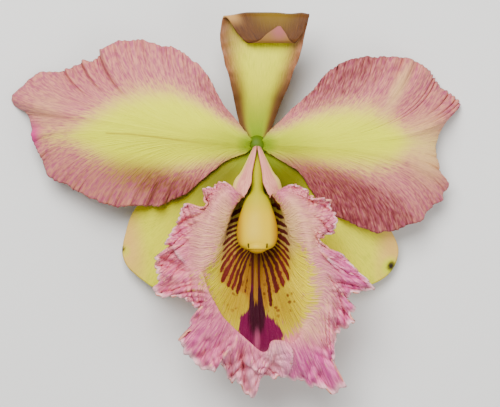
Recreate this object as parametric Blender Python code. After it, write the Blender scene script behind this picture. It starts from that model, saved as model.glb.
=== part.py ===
# A cattleya orchid bloom as picked: three sepals, two petals, a trumpet lip with a ruffled limb,
# the column with its anther cap and four pollen masses, and the ovary with its cut stalk.
# The bloom lies on its back on a surface at Z = 0: +X is the viewer's right, +Y is up in the
# picture, +Z points at the viewer. It rests on the outer lobes of both petals and on the stalk.

import math

import bpy
import numpy as np

# Sizes are in metres. Tables are in millimetres, from the point where all the parts join.
MM = 0.001
JOIN_POINT = (0.0072, 0.0198, 0.0200)

NECK_RADIUS = 0.0032
FOOT_RADIUS = 0.00355
PETAL_FOOT_HEIGHT = 0.0009
SEPAL_FOOT_HEIGHT = -0.0012
PETAL_MARGIN = 0.0007
PETAL_CLAW = 0.0012
SEPAL_MARGIN = 0.0008
SEPAL_CLAW = 0.0012
LIP_MARGIN = 0.0007
LIP_TUBE = 0.0009

PETAL_GRID = (34, 13)
SEPAL_GRID = (18, 8)
DORSAL_GRID = (13, 26)
LIP_GRID = (80, 18)

LEFT_PETAL_EDGE = (
    (-3.7, 4.0, 0.9), (-7.0, 8.4, 0.5), (-11.4, 13.8, 0.0), (-16.8, 23.6, -1.5), (-22.2, 29.1, -3.0),
    (-27.7, 32.9, -4.5), (-33.2, 34.0, -5.5), (-38.7, 35.9, -7.0), (-46.3, 35.6, -9.0),
    (-50.1, 34.8, -10.0), (-53.6, 31.8, -11.0), (-56.0, 29.1, -11.5), (-60.2, 28.8, -12.5),
    (-64.2, 26.6, -14.5), (-68.2, 25.5, -16.5), (-72.2, 25.8, -18.0), (-75.8, 25.2, -19.6),
    (-78.6, 23.2, -19.9), (-81.3, 20.7, -19.5), (-84.0, 17.8, -18.2), (-83.4, 14.3, -17.4),
    (-79.1, 12.0, -16.0), (-77.6, 9.2, -14.9), (-77.3, 5.4, -13.6), (-76.3, 1.1, -12.4),
    (-73.6, -4.1, -11.0), (-70.9, -10.2, -10.0), (-64.0, -13.7, -9.0), (-56.4, -17.8, -8.0),
    (-51.9, -19.5, -7.2), (-46.4, -20.8, -6.2), (-40.6, -20.1, -5.2), (-34.5, -20.5, -4.4),
    (-30.7, -19.5, -3.6), (-27.3, -17.8, -2.8), (-23.6, -16.1, -2.2), (-20.2, -13.1, -1.6),
    (-15.5, -9.0, -0.8), (-10.7, -5.4, 0.0), (-6.4, -3.7, 0.6), (-4.0, -2.9, 0.9),
)
RIGHT_PETAL_EDGE = (
    (3.7, 4.0, 0.9), (7.4, 7.7, 0.5), (12.1, 12.4, 0.0), (19.2, 18.9, -1.5), (23.9, 24.7, -2.8),
    (28.4, 27.5, -4.0), (32.2, 29.3, -5.0), (36.6, 30.0, -6.0), (42.2, 30.1, -7.5), (47.7, 30.3, -9.0),
    (53.7, 29.1, -11.5), (56.6, 27.9, -13.0), (59.6, 25.3, -15.0), (63.7, 20.3, -17.8),
    (66.5, 18.6, -18.8), (69.4, 16.2, -19.4), (70.1, 14.5, -19.2), (68.2, 12.0, -18.0),
    (64.7, 8.1, -16.0), (62.2, 3.7, -14.0), (61.0, -0.6, -12.5), (61.6, -5.1, -11.8),
    (63.0, -9.5, -11.4), (65.5, -13.0, -11.2), (64.2, -17.1, -10.6), (62.5, -19.1, -10.0),
    (57.3, -23.2, -9.0), (52.1, -26.9, -8.0), (46.9, -28.6, -7.0), (40.7, -29.5, -6.0),
    (35.2, -27.6, -5.0), (29.9, -25.2, -4.2), (26.7, -24.2, -3.6), (22.9, -21.1, -2.8),
    (19.5, -17.1, -2.0), (17.2, -13.4, -1.4), (14.4, -9.2, -0.6), (10.4, -6.4, 0.0), (6.4, -4.2, 0.5),
    (4.0, -2.9, 0.9),
)
LEFT_SEPAL_EDGE = (
    (-5.2, -1.5, -1.5), (-10.1, -2.8, -2.3), (-17.9, -6.0, -4.3), (-26.4, -10.8, -7.0),
    (-34.7, -15.0, -9.6), (-39.9, -19.1, -11.6), (-43.2, -24.3, -13.2), (-45.2, -30.5, -14.8),
    (-46.1, -35.7, -16.0), (-45.7, -38.7, -15.6), (-44.3, -41.5, -14.8), (-42.0, -43.5, -14.0),
    (-39.0, -45.9, -13.0), (-35.6, -48.2, -12.0), (-31.1, -48.9, -11.0), (-24.5, -46.1, -9.5),
    (-17.7, -39.9, -8.0), (-11.2, -30.6, -6.0), (-6.4, -21.2, -4.0), (-3.4, -12.7, -2.4),
    (-2.0, -6.0, -1.4),
)
RIGHT_SEPAL_EDGE = (
    (5.0, -1.6, -1.6), (10.1, -3.0, -2.6), (17.9, -6.0, -4.4), (26.4, -11.0, -7.0),
    (35.1, -17.8, -9.6), (42.1, -24.2, -11.6), (46.3, -29.7, -13.2), (48.4, -34.9, -14.8),
    (48.0, -39.4, -16.0), (46.7, -42.2, -15.6), (44.8, -44.2, -14.8), (42.0, -46.1, -14.0),
    (38.8, -47.6, -13.0), (33.9, -48.2, -12.0), (27.4, -46.1, -10.4), (19.4, -40.2, -8.4),
    (12.2, -31.0, -6.2), (6.8, -21.2, -4.0), (3.7, -12.7, -2.4), (2.2, -6.0, -1.4),
)

# Each row is the middle (x, y, z) of the dorsal sepal and its half width there: up the sepal, over
# the fold at its top, down the flap, and back up to the curled tip.
DORSAL_ROWS = (
    (0.0, 3.6, -1.3, 2.4),
    (-0.2, 8.4, -0.6, 5.6),
    (0.3, 14.4, 0.4, 7.6),
    (1.0, 20.4, 1.2, 9.6),
    (1.3, 26.1, 1.4, 11.1),
    (1.7, 32.1, 1.0, 13.0),
    (1.8, 37.9, -0.2, 14.2),
    (2.5, 42.1, -1.4, 14.6),
    (3.0, 44.2, -0.4, 14.3),
    (3.5, 43.3, 1.8, 13.4),
    (3.5, 40.3, 3.2, 11.9),
    (3.7, 37.2, 4.2, 10.2),
    (4.1, 34.3, 5.4, 7.6),
    (5.3, 34.6, 7.4, 5.4),
    (6.4, 36.9, 8.4, 2.9),
    (7.3, 39.2, 8.8, 0.5),
)
DORSAL_FOLD_BACK = 4.2
DORSAL_FLAT_FROM = 0.52

# The lip's tube: middle y, lean in y, middle z, half width, half height, half the slit's angle.
TUBE_RINGS = (
    (-2.4, 1.36, 3.9, 3.4, 3.5, 14.0),
    (-5.4, 0.6, 5.3, 3.7, 4.0, 13.0),
    (-9.4, 0.4, 6.7, 5.6, 4.6, 12.0),
    (-13.4, 0.5, 8.7, 8.2, 5.9, 12.0),
)
THROAT_RING = (
    (-3.2, -17.0, 14.9), (-5.6, -18.6, 15.2), (-8.6, -22.1, 14.5), (-10.2, -27.7, 13.0),
    (-11.2, -32.6, 11.5), (-10.3, -37.0, 10.0), (-6.3, -40.0, 9.0), (0.0, -41.0, 8.5),
    (6.2, -40.0, 9.0), (10.2, -37.0, 10.0), (11.1, -32.6, 11.5), (10.1, -27.7, 13.0),
    (8.8, -22.7, 14.5), (5.5, -18.6, 15.2), (2.8, -17.2, 14.9),
)
CREST_RING = (
    (-5.2, -16.4, 17.0), (-8.9, -16.1, 17.6), (-12.2, -18.4, 17.8), (-14.8, -22.7, 17.5),
    (-17.0, -28.9, 16.5), (-18.0, -36.1, 15.5), (-16.8, -43.7, 14.0), (-12.6, -50.8, 11.5),
    (-6.6, -56.1, 9.5), (0.0, -58.8, 8.5), (7.2, -56.5, 9.5), (13.5, -51.4, 11.5), (17.3, -43.4, 14.5),
    (17.0, -35.8, 16.5), (15.4, -29.2, 17.5), (13.5, -22.9, 18.0), (10.2, -18.6, 17.8),
    (7.1, -16.1, 17.6), (4.8, -16.4, 17.0),
)
ROLL_RING = (
    (-6.6, -15.6, 17.4), (-9.8, -15.2, 17.0), (-13.4, -17.0, 15.6), (-15.2, -21.1, 15.3),
    (-19.6, -26.6, 14.0), (-23.0, -33.6, 12.8), (-24.6, -40.8, 12.0), (-22.6, -46.6, 12.0),
    (-15.6, -53.6, 12.0), (-15.2, -62.0, 10.5), (-8.9, -67.0, 11.0), (0.0, -69.8, 11.5),
    (8.5, -69.2, 11.0), (16.0, -67.0, 9.5), (20.4, -59.7, 10.0), (24.4, -51.1, 11.0),
    (25.0, -43.5, 12.8), (20.8, -37.6, 14.8), (18.2, -31.2, 16.2), (18.6, -24.7, 16.2),
    (16.2, -20.8, 16.2), (12.8, -17.2, 16.2), (9.6, -15.8, 16.6), (6.4, -15.5, 17.2),
)
LIP_EDGE = (
    (-7.8, -14.5, 17.2), (-10.2, -13.1, 16.2), (-12.2, -12.6, 14.5), (-13.7, -14.0, 13.5),
    (-16.8, -14.2, 12.5), (-17.8, -16.5, 12.0), (-17.7, -19.0, 12.4), (-18.9, -20.1, 12.2),
    (-20.7, -20.3, 11.4), (-23.1, -19.8, 10.4), (-25.5, -22.1, 9.5), (-27.1, -27.1, 9.0),
    (-29.6, -31.7, 9.0), (-32.8, -37.0, 8.0), (-33.3, -40.3, 8.5), (-33.0, -45.0, 8.0),
    (-34.7, -47.7, 7.0), (-31.5, -50.9, 8.0), (-28.1, -50.2, 9.0), (-23.3, -51.3, 10.2),
    (-20.9, -55.0, 10.2), (-22.0, -58.6, 9.2), (-22.5, -62.5, 8.0), (-25.2, -64.3, 6.6),
    (-25.0, -67.7, 5.5), (-21.6, -71.5, 5.5), (-17.3, -74.9, 5.0), (-13.6, -74.8, 6.0),
    (-12.0, -72.4, 7.4), (-10.3, -75.0, 6.0), (-8.7, -79.4, 5.0), (-7.0, -77.6, 6.0),
    (-5.3, -81.0, 5.0), (-2.0, -84.1, 4.0), (0.3, -81.7, 5.0), (1.6, -77.8, 7.0), (3.6, -76.4, 7.0),
    (7.3, -76.9, 6.0), (11.3, -78.0, 5.5), (15.3, -78.7, 5.0), (18.6, -80.8, 4.5), (22.7, -81.1, 4.0),
    (25.0, -83.5, 3.5), (27.3, -81.6, 4.0), (29.7, -81.1, 4.0), (28.0, -78.1, 4.5), (25.9, -73.8, 5.5),
    (25.5, -69.6, 6.5), (25.7, -65.9, 7.0), (27.5, -61.9, 7.0), (31.9, -58.3, 6.0), (30.8, -56.3, 7.0),
    (32.7, -54.3, 6.5), (30.1, -51.9, 7.5), (30.7, -49.6, 8.5), (34.5, -49.0, 7.0), (38.4, -47.7, 6.0),
    (35.4, -44.0, 8.0), (30.0, -38.6, 10.0), (25.3, -35.6, 12.0), (21.8, -33.0, 13.6),
    (22.0, -30.9, 14.0), (24.2, -29.6, 13.2), (25.8, -25.7, 12.4), (24.3, -22.1, 12.8),
    (23.0, -19.1, 12.9), (20.0, -18.0, 13.4), (17.3, -17.2, 14.0), (15.4, -15.0, 14.6),
    (12.1, -13.8, 15.8), (8.6, -14.4, 16.8),
)
LIP_MIDDLE = (0.0, -32.0)
RING_PLACES = (0.0, 0.08, 0.17, 0.27, 0.44, 0.66, 0.84, 1.0)

# The column: middle (y, z), half width and half thickness along it, from its root to its end.
COLUMN_ROWS = (
    (3.0, 3.2, 0.9, 0.7),
    (2.3, 3.4, 2.0, 1.7),
    (0.6, 3.7, 2.5, 2.3),
    (-2.6, 4.5, 2.4, 2.4),
    (-7.0, 5.9, 2.6, 2.5),
    (-12.0, 8.1, 3.1, 2.8),
    (-16.5, 10.4, 4.2, 3.2),
    (-20.5, 12.4, 5.2, 3.6),
    (-24.5, 14.1, 6.1, 3.9),
    (-28.5, 15.7, 6.5, 3.9),
    (-31.5, 16.8, 6.3, 3.5),
    (-33.6, 17.5, 5.4, 2.8),
    (-34.7, 17.9, 3.2, 1.6),
)
COLUMN_SIDES = 24
CAP_MIDDLE = (0.0, -34.0, 18.3)
CAP_SIZE = (3.1, 1.9, 2.3)
CAP_WALL = 0.6
ROOM_SHIFT = 0.75
SEAT_GAP = 0.3
POLLEN_SIZE = (0.38, 0.6, 0.75)
POLLEN_STEP = 1.02
POLLEN_SHIFT = 0.6

# The ovary and stalk: (y, z) and radius along it, from the neck in front to the cut end.
STALK_ROWS = (
    (0.0, 1.1, 3.2),
    (0.0, -1.0, 3.2),
    (0.0, -3.4, 3.2),
    (-1.0, -6.6, 3.0),
    (-4.2, -10.0, 3.0),
    (-9.0, -12.8, 3.2),
    (-15.5, -15.0, 3.3),
    (-23.0, -16.3, 3.1),
    (-30.0, -17.0, 2.6),
    (-38.0, -17.4, 2.25),
    (-50.0, -17.5, 2.2),
    (-62.0, -17.6, 2.4),
)
STALK_SIDES = 16


def smooth_curve(points, stations, places=None):
    """Rows of numbers at the stations (0 to 1) of the smooth curve that passes every given row.

    The curve's parameter follows the straight distance between the rows, unless places gives each
    row its own value of it.
    """
    points = np.asarray(points, float)
    if places is None:
        steps = np.linalg.norm(np.diff(points, axis=0), axis=1)
        places = np.concatenate([[0.0], np.cumsum(steps)]) / steps.sum()
    places = np.asarray(places, float)
    slopes = np.empty_like(points)
    slopes[1:-1] = (points[2:] - points[:-2]) / (places[2:] - places[:-2])[:, None]
    slopes[0] = (points[1] - points[0]) / (places[1] - places[0])
    slopes[-1] = (points[-1] - points[-2]) / (places[-1] - places[-2])
    stations = np.clip(stations, 0.0, 1.0)
    index = np.clip(np.searchsorted(places, stations, side="right") - 1, 0, len(places) - 2)
    width = (places[index + 1] - places[index])[:, None]
    t = (stations - places[index])[:, None] / width
    before, after = points[index], points[index + 1]
    return (
        (2 * t**3 - 3 * t**2 + 1) * before
        + (t**3 - 2 * t**2 + t) * width * slopes[index]
        + (3 * t**2 - 2 * t**3) * after
        + (t**3 - t**2) * width * slopes[index + 1]
    )


def foot_arc(start, end, height, stations):
    """Points in millimetres on the arc round the neck where a claw's veins begin."""
    angle = np.radians(start + (end - start) * stations)
    radius = FOOT_RADIUS / MM
    return np.stack([radius * np.cos(angle), radius * np.sin(angle), np.full_like(angle, height / MM)], axis=-1)


def waves(u, parts):
    """The sum of sine waves along an edge, each given as (height, count, shift)."""
    return sum(height * np.sin(2 * math.pi * (count * u + shift)) for height, count, shift in parts)


def edge_places(edge, middle, by_angle):
    """Each edge point's share of the way round, partly by its angle about the middle and for the rest
    by the edge's own length, so that a fold in the edge still moves forward."""
    edge = np.asarray(edge, float)
    angle = np.unwrap(np.arctan2(edge[:, 1] - middle[1], edge[:, 0] - middle[0]))
    turned = (angle - angle[0]) / (angle[-1] - angle[0])
    steps = np.linalg.norm(np.diff(edge, axis=0), axis=1)
    length = np.concatenate([[0.0], np.cumsum(steps)]) / steps.sum()
    return by_angle * turned + (1.0 - by_angle) * length


def fan_points(foot, edge, by_angle, axis, lift, ruffle, grid):
    """Blade of veins that leave the foot together, run along the axis and bend out to the edge.

    Each vein is a curve from its foot point through a middle point to its edge point. The lift
    raises the middle points towards the viewer; the ruffle raises the edge, and fades inwards with
    the cube of the distance. By_angle sets how the veins share out the edge, as edge_places says.
    """
    u = np.linspace(0.0, 1.0, grid[0] + 1)
    v = np.linspace(0.0, 1.0, grid[1] + 1)[None, :, None]
    start = foot_arc(*foot, u)
    end = smooth_curve(edge, u, edge_places(edge, (0.0, 0.0), by_angle))
    axis = np.array(axis, float) / np.linalg.norm(axis)
    reach = np.sum((end - start) * axis, axis=1, keepdims=True)
    middle = start + axis * reach * 0.58
    middle[:, 2] = start[:, 2] + lift * np.sin(math.pi * u) ** 2
    points = (1 - v) ** 2 * start[:, None] + 2 * v * (1 - v) * middle[:, None] + v**2 * end[:, None]
    points[:, :, 2] += waves(u, ruffle)[:, None] * v[:, :, 0] ** 3 * np.sin(math.pi * u)[:, None] ** 0.5
    return points * MM


def dorsal_points():
    """Blade that follows the dorsal sepal's middle line, as wide as its rows say.

    The sides bend away from the viewer with the square of the distance from the middle, less and
    less towards the fold, past which the flap lies flat.
    """
    w = np.linspace(-1.0, 1.0, DORSAL_GRID[0] + 1)
    s = np.linspace(0.0, 1.0, DORSAL_GRID[1] + 1)
    rows = smooth_curve(DORSAL_ROWS, s)
    fold = DORSAL_FOLD_BACK * np.clip(s / 0.2, 0.0, 1.0) * np.clip((DORSAL_FLAT_FROM - s) / 0.2, 0.0, 1.0)
    points = np.zeros((len(w), len(s), 3))
    points[:, :, 0] = rows[None, :, 0] + w[:, None] * rows[None, :, 3]
    points[:, :, 1] = rows[None, :, 1]
    points[:, :, 2] = rows[None, :, 2] - fold[None, :] * w[:, None] ** 2
    return points * MM


def lip_points():
    """Trumpet round the column: slit tube rings, then the throat, the crest, the roll and the edge.

    u runs from the slit's left side round the underside to its right side. Every value of u gives one
    smooth vein through the rings, from the tube's foot to the limb's edge.
    """
    u = np.linspace(0.0, 1.0, LIP_GRID[0] + 1)
    v = np.linspace(0.0, 1.0, LIP_GRID[1] + 1)
    rings = []
    for y, lean, z, half_width, half_height, slit in TUBE_RINGS:
        angle = np.radians(90.0 + slit + (360.0 - 2 * slit) * u)
        ring = [half_width * np.cos(angle), y + lean * np.sin(angle), z + half_height * np.sin(angle)]
        rings.append(np.stack(ring, axis=-1))
    for table in (THROAT_RING, CREST_RING, ROLL_RING, LIP_EDGE):
        rings.append(smooth_curve(table, u, edge_places(table, LIP_MIDDLE, 0.65)))
    rings = np.stack(rings)
    veins = smooth_curve(rings.reshape(len(rings), -1), v, RING_PLACES)
    return veins.reshape(len(v), len(u), 3).transpose(1, 0, 2) * MM


def tube_rings(rows, sides, hollow=0.0):
    """Closed rings of points round a path in the plane x = 0, square to the path.

    Each row is (y, z, half width, half thickness). Hollow flattens the underside.
    """
    rows = np.asarray(rows, float)
    angle = np.linspace(0.0, 2 * math.pi, sides, endpoint=False)
    ahead = np.gradient(rows[:, :2], axis=0)
    ahead /= np.linalg.norm(ahead, axis=1, keepdims=True)
    up = np.stack([-ahead[:, 1], ahead[:, 0]], axis=-1) * np.sign(-ahead[:, :1] + 1e-9)
    rise = np.where(np.sin(angle) < 0, 1.0 - hollow, 1.0) * np.sin(angle)
    points = np.zeros((len(rows), sides, 3))
    points[:, :, 0] = rows[:, 2:3] * np.cos(angle)
    points[:, :, 1] = rows[:, 0:1] + up[:, 0:1] * rows[:, 3:4] * rise
    points[:, :, 2] = rows[:, 1:2] + up[:, 1:2] * rows[:, 3:4] * rise
    return points * MM


def stalk_rings():
    """Round rings along the ovary and stalk, each square to the path."""
    rows = np.asarray(STALK_ROWS, float)
    stations = np.linspace(0.0, 1.0, 22)
    rows = smooth_curve(rows, stations)
    ahead = np.gradient(rows[:, :2], axis=0)
    ahead /= np.linalg.norm(ahead, axis=1, keepdims=True)
    angle = np.linspace(0.0, 2 * math.pi, STALK_SIDES, endpoint=False)
    points = np.zeros((len(rows), STALK_SIDES, 3))
    points[:, :, 0] = rows[:, 2:3] * np.cos(angle)
    points[:, :, 1] = rows[:, 0:1] + ahead[:, 1:2] * rows[:, 2:3] * np.sin(angle)
    points[:, :, 2] = rows[:, 1:2] - ahead[:, 0:1] * rows[:, 2:3] * np.sin(angle)
    return points * MM


def new_material(name, colour, roughness):
    material = bpy.data.materials.new(name)
    material.use_nodes = True
    shader = material.node_tree.nodes["Principled BSDF"]
    shader.inputs["Base Color"].default_value = (*colour, 1.0)
    shader.inputs["Roughness"].default_value = roughness
    return material


def new_object(name, points, faces, material):
    """Mesh object with smooth shading, moved so that the join point stands at its height."""
    mesh = bpy.data.meshes.new(name)
    shifted = np.asarray(points, float).reshape(-1, 3) + JOIN_POINT
    mesh.from_pydata(shifted.tolist(), [], np.asarray(faces).tolist())
    mesh.materials.append(material)
    mesh.validate()
    mesh.update()
    mesh.shade_smooth()
    obj = bpy.data.objects.new(name, mesh)
    bpy.context.collection.objects.link(obj)
    return obj


def blade(name, points, material, margin, claw, midrib=0.5):
    """Thin solid about a grid of points: thick at the claw, thin at the edge, equal on both faces.

    The grid is split into triangles first, so that both faces fold along the same lines.
    """
    across, along = points.shape[0], points.shape[1]
    index = np.arange(across * along).reshape(across, along)
    a, b = index[:-1, :-1].ravel(), index[1:, :-1].ravel()
    c, d = index[1:, 1:].ravel(), index[:-1, 1:].ravel()
    faces = np.concatenate([np.stack([a, d, c], axis=1), np.stack([a, c, b], axis=1)])
    obj = new_object(name, points, faces, material)
    v = np.linspace(0.0, 1.0, along)[None, :]
    u = np.linspace(0.0, 1.0, across)[:, None]
    rib = np.exp(-(((u - midrib) / 0.10) ** 2)) * (1.0 - v) * 0.5
    body = np.clip(np.clip(1.0 - v / 0.75, 0.0, 1.0) + rib, 0.0, 1.0)
    body = body * np.clip(np.sin(math.pi * u) * 5.0, 0.0, 1.0)
    group = obj.vertex_groups.new(name="body")
    for vertex, weight in enumerate(body.ravel()):
        group.add([vertex], float(weight), "REPLACE")
    solid = obj.modifiers.new("Thickness", "SOLIDIFY")
    solid.thickness = claw
    solid.offset = 0.0
    solid.vertex_group = group.name
    solid.thickness_vertex_group = margin / claw
    return obj


def capped_tube(name, rings, material):
    """Closed solid through rings of points, with a fan of triangles at each end."""
    count, sides = rings.shape[:2]
    points = np.concatenate([rings.reshape(-1, 3), [rings[0].mean(axis=0)], [rings[-1].mean(axis=0)]])
    first, last = count * sides, count * sides + 1
    faces = []
    for row in range(count - 1):
        for side in range(sides):
            a = row * sides + side
            b = row * sides + (side + 1) % sides
            faces.append((a, b, b + sides))
            faces.append((a, b + sides, a + sides))
    for side in range(sides):
        beside = (side + 1) % sides
        faces.append((first, beside, side))
        faces.append((last, (count - 1) * sides + side, (count - 1) * sides + beside))
    return new_object(name, points, faces, material)


def ellipsoid_points(middle, size, sides, rows):
    """Rings of points over an ellipsoid, from one pole on the Y axis to the other."""
    turn = np.linspace(0.0, 2 * math.pi, sides, endpoint=False)[None, :]
    rise = np.linspace(0.04, math.pi - 0.04, rows)[:, None]
    points = np.zeros((rows, sides, 3))
    points[:, :, 0] = middle[0] + size[0] * np.sin(rise) * np.cos(turn)
    points[:, :, 1] = middle[1] - size[1] * np.cos(rise)
    points[:, :, 2] = middle[2] - size[2] * np.sin(rise) * np.sin(turn)
    return points * MM


def cut(obj, cutter):
    """Takes the cutter's volume away from the object, and keeps the cutter as a hidden wire helper."""
    cutter.hide_render = True
    cutter.display_type = "WIRE"
    change = obj.modifiers.new("Cut", "BOOLEAN")
    change.operation = "DIFFERENCE"
    change.solver = "EXACT"
    change.object = cutter


def flower_leaves(petal, sepal):
    """The three sepals and the two petals."""
    left = fan_points(
        (136.0, 216.0, PETAL_FOOT_HEIGHT), LEFT_PETAL_EDGE, 0.2, (-1.0, 0.06, 0.0), 7.0,
        ((0.9, 3.0, 0.1), (0.7, 6.5, 0.6)), PETAL_GRID,
    )
    blade("petal_left", left, petal, PETAL_MARGIN, PETAL_CLAW)
    right = fan_points(
        (44.0, -36.0, PETAL_FOOT_HEIGHT), RIGHT_PETAL_EDGE, 0.2, (1.0, -0.02, 0.0), 7.0,
        ((0.9, 3.5, 0.4), (0.7, 7.0, 0.2)), PETAL_GRID,
    )
    blade("petal_right", right, petal, PETAL_MARGIN, PETAL_CLAW)
    left = fan_points(
        (196.0, 258.0, SEPAL_FOOT_HEIGHT), LEFT_SEPAL_EDGE, 0.0, (-0.76, -0.65, 0.0), -2.2,
        ((0.4, 2.0, 0.1),), SEPAL_GRID,
    )
    blade("lateral_sepal_left", left, sepal, SEPAL_MARGIN, SEPAL_CLAW)
    right = fan_points(
        (-16.0, -78.0, SEPAL_FOOT_HEIGHT), RIGHT_SEPAL_EDGE, 0.0, (0.76, -0.65, 0.0), -2.2,
        ((0.4, 2.0, 0.6),), SEPAL_GRID,
    )
    blade("lateral_sepal_right", right, sepal, SEPAL_MARGIN, SEPAL_CLAW)
    blade("dorsal_sepal", dorsal_points(), sepal, SEPAL_MARGIN, SEPAL_CLAW)


def column_parts(waxy, pollen):
    """The column, with a seat cut in its end for the anther cap and the four pollen masses."""
    stations = np.linspace(0.0, 1.0, 24)
    rows = smooth_curve(COLUMN_ROWS, stations)
    column = capped_tube("column", tube_rings(rows, COLUMN_SIDES, 0.35), waxy)
    seat_size = tuple(size + SEAT_GAP for size in CAP_SIZE)
    seat = capped_tube("cap_seat", ellipsoid_points(CAP_MIDDLE, seat_size, 16, 10), waxy)
    cut(column, seat)
    cap = capped_tube("anther_cap", ellipsoid_points(CAP_MIDDLE, CAP_SIZE, 20, 12), waxy)
    room_size = tuple(size - CAP_WALL for size in CAP_SIZE)
    room_middle = (CAP_MIDDLE[0], CAP_MIDDLE[1] + ROOM_SHIFT, CAP_MIDDLE[2])
    room = capped_tube("cap_room", ellipsoid_points(room_middle, room_size, 20, 12), waxy)
    cut(cap, room)
    for number in range(4):
        x = (number - 1.5) * POLLEN_STEP
        middle = (x, CAP_MIDDLE[1] + POLLEN_SHIFT, CAP_MIDDLE[2])
        capped_tube(f"pollinium_{number + 1}", ellipsoid_points(middle, POLLEN_SIZE, 10, 7), pollen)


def main():
    for obj in list(bpy.data.objects):
        bpy.data.objects.remove(obj)
    petal = new_material("petal_pink", (0.62, 0.32, 0.36), 0.5)
    sepal = new_material("sepal_green", (0.60, 0.58, 0.22), 0.5)
    lip = new_material("lip_pink", (0.66, 0.30, 0.38), 0.45)
    waxy = new_material("column_cream", (0.75, 0.60, 0.22), 0.35)
    pollen = new_material("pollen_yellow", (0.80, 0.62, 0.12), 0.4)
    green = new_material("stalk_green", (0.22, 0.34, 0.06), 0.45)
    flower_leaves(petal, sepal)
    blade("lip", lip_points(), lip, LIP_MARGIN, LIP_TUBE)
    column_parts(waxy, pollen)
    capped_tube("ovary_stalk", stalk_rings(), green)


main()
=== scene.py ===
"""A cattleya bloom laid on its back: fine, coloured pieces in place of the frame's nodes, and their stage."""

import functools
import math

import bpy
import numpy as np
from bpy.props import FloatProperty, FloatVectorProperty, PointerProperty
from bpy.types import Operator, Panel, PropertyGroup
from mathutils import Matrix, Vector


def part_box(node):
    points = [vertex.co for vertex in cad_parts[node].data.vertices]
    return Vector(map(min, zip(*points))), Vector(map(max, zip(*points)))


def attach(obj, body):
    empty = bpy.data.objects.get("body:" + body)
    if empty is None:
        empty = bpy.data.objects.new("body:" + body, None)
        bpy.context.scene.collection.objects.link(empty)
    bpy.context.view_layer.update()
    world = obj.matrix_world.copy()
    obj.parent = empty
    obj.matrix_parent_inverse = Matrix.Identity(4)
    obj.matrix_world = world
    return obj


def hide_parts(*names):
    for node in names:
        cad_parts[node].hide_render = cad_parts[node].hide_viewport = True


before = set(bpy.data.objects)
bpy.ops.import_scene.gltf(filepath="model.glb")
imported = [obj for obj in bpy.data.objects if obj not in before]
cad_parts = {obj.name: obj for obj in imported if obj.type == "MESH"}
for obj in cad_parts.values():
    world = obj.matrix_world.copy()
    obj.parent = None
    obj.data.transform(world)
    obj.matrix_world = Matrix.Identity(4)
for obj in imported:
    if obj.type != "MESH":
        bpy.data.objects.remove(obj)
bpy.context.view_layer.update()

bl_info = {
    "name": "Cattleya bloom",
    "version": (1, 0, 0),
    "blender": (4, 5, 0),
    "location": "3D View > Sidebar > Bloom",
    "description": "Builds the petals, sepals, lip, column and stalk of an orchid bloom round its frame",
    "category": "Add Mesh",
}

STALK_LOW, STALK_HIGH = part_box("ovary_stalk")

# Tables are in millimetres, from the point where all the parts join: +X to the viewer's right,
# +Y up in the picture and +Z towards the viewer.
MM = 0.001
NECK_RADIUS = 3.26
NECK_TOP = 1.15
JOIN_POINT = np.array(
    [
        (STALK_LOW.x + STALK_HIGH.x) / 2,
        STALK_HIGH.y - NECK_RADIUS * MM,
        STALK_HIGH.z - NECK_TOP * MM,
    ]
)

# The radius of the arc that the blades start on, and the share of a blade at each end of it whose veins
# run straight; then how high the petals and the lateral sepals start, and how thick a lateral sepal is
# there, which is in metres.
FOOT_RADIUS = 2.3
STRAIGHT_SHARE = 0.09
PETAL_FOOT = 0.9
SEPAL_FOOT = -1.2
SEPAL_CLAW = 0.0012

# How many faces a blade has across its veins and along them.
PETAL_GRID = (500, 70)
SEPAL_GRID = (150, 80)
DORSAL_GRID = (110, 230)
LIP_GRID = (500, 96)

LEFT_PETAL_EDGE = (
    (-3.7, 4.0, 0.9), (-7.0, 8.4, 0.5), (-11.4, 13.8, 0.0), (-16.8, 23.6, -1.5), (-22.2, 29.1, -3.0),
    (-27.7, 32.9, -4.5), (-33.2, 34.0, -5.5), (-38.7, 35.9, -7.0), (-46.3, 35.6, -9.0),
    (-50.1, 34.8, -10.0), (-53.6, 31.8, -11.0), (-56.0, 29.1, -11.5), (-60.2, 28.8, -12.5),
    (-64.2, 26.6, -14.5), (-68.2, 25.5, -16.5), (-72.2, 25.8, -18.0), (-75.8, 25.2, -19.6),
    (-78.6, 23.2, -19.9), (-81.3, 20.7, -19.5), (-84.5, 17.4, -18.2), (-84.2, 15.0, -17.8),
    (-82.2, 13.4, -17.2), (-79.8, 12.2, -16.4), (-77.9, 9.4, -15.2), (-77.3, 5.4, -13.6),
    (-76.3, 1.1, -12.4),
    (-73.6, -4.1, -11.0), (-70.9, -10.2, -10.0), (-64.0, -13.7, -9.0), (-56.4, -17.8, -8.0),
    (-51.9, -19.5, -7.2), (-46.4, -20.8, -6.2), (-40.6, -20.1, -5.2), (-34.5, -20.5, -4.4),
    (-30.7, -19.5, -3.6), (-27.3, -17.8, -2.8), (-23.6, -16.1, -2.2), (-20.2, -13.1, -1.6),
    (-15.5, -9.0, -0.8), (-10.7, -5.4, 0.0), (-6.4, -3.7, 0.6), (-4.0, -2.9, 0.9),
)
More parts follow.
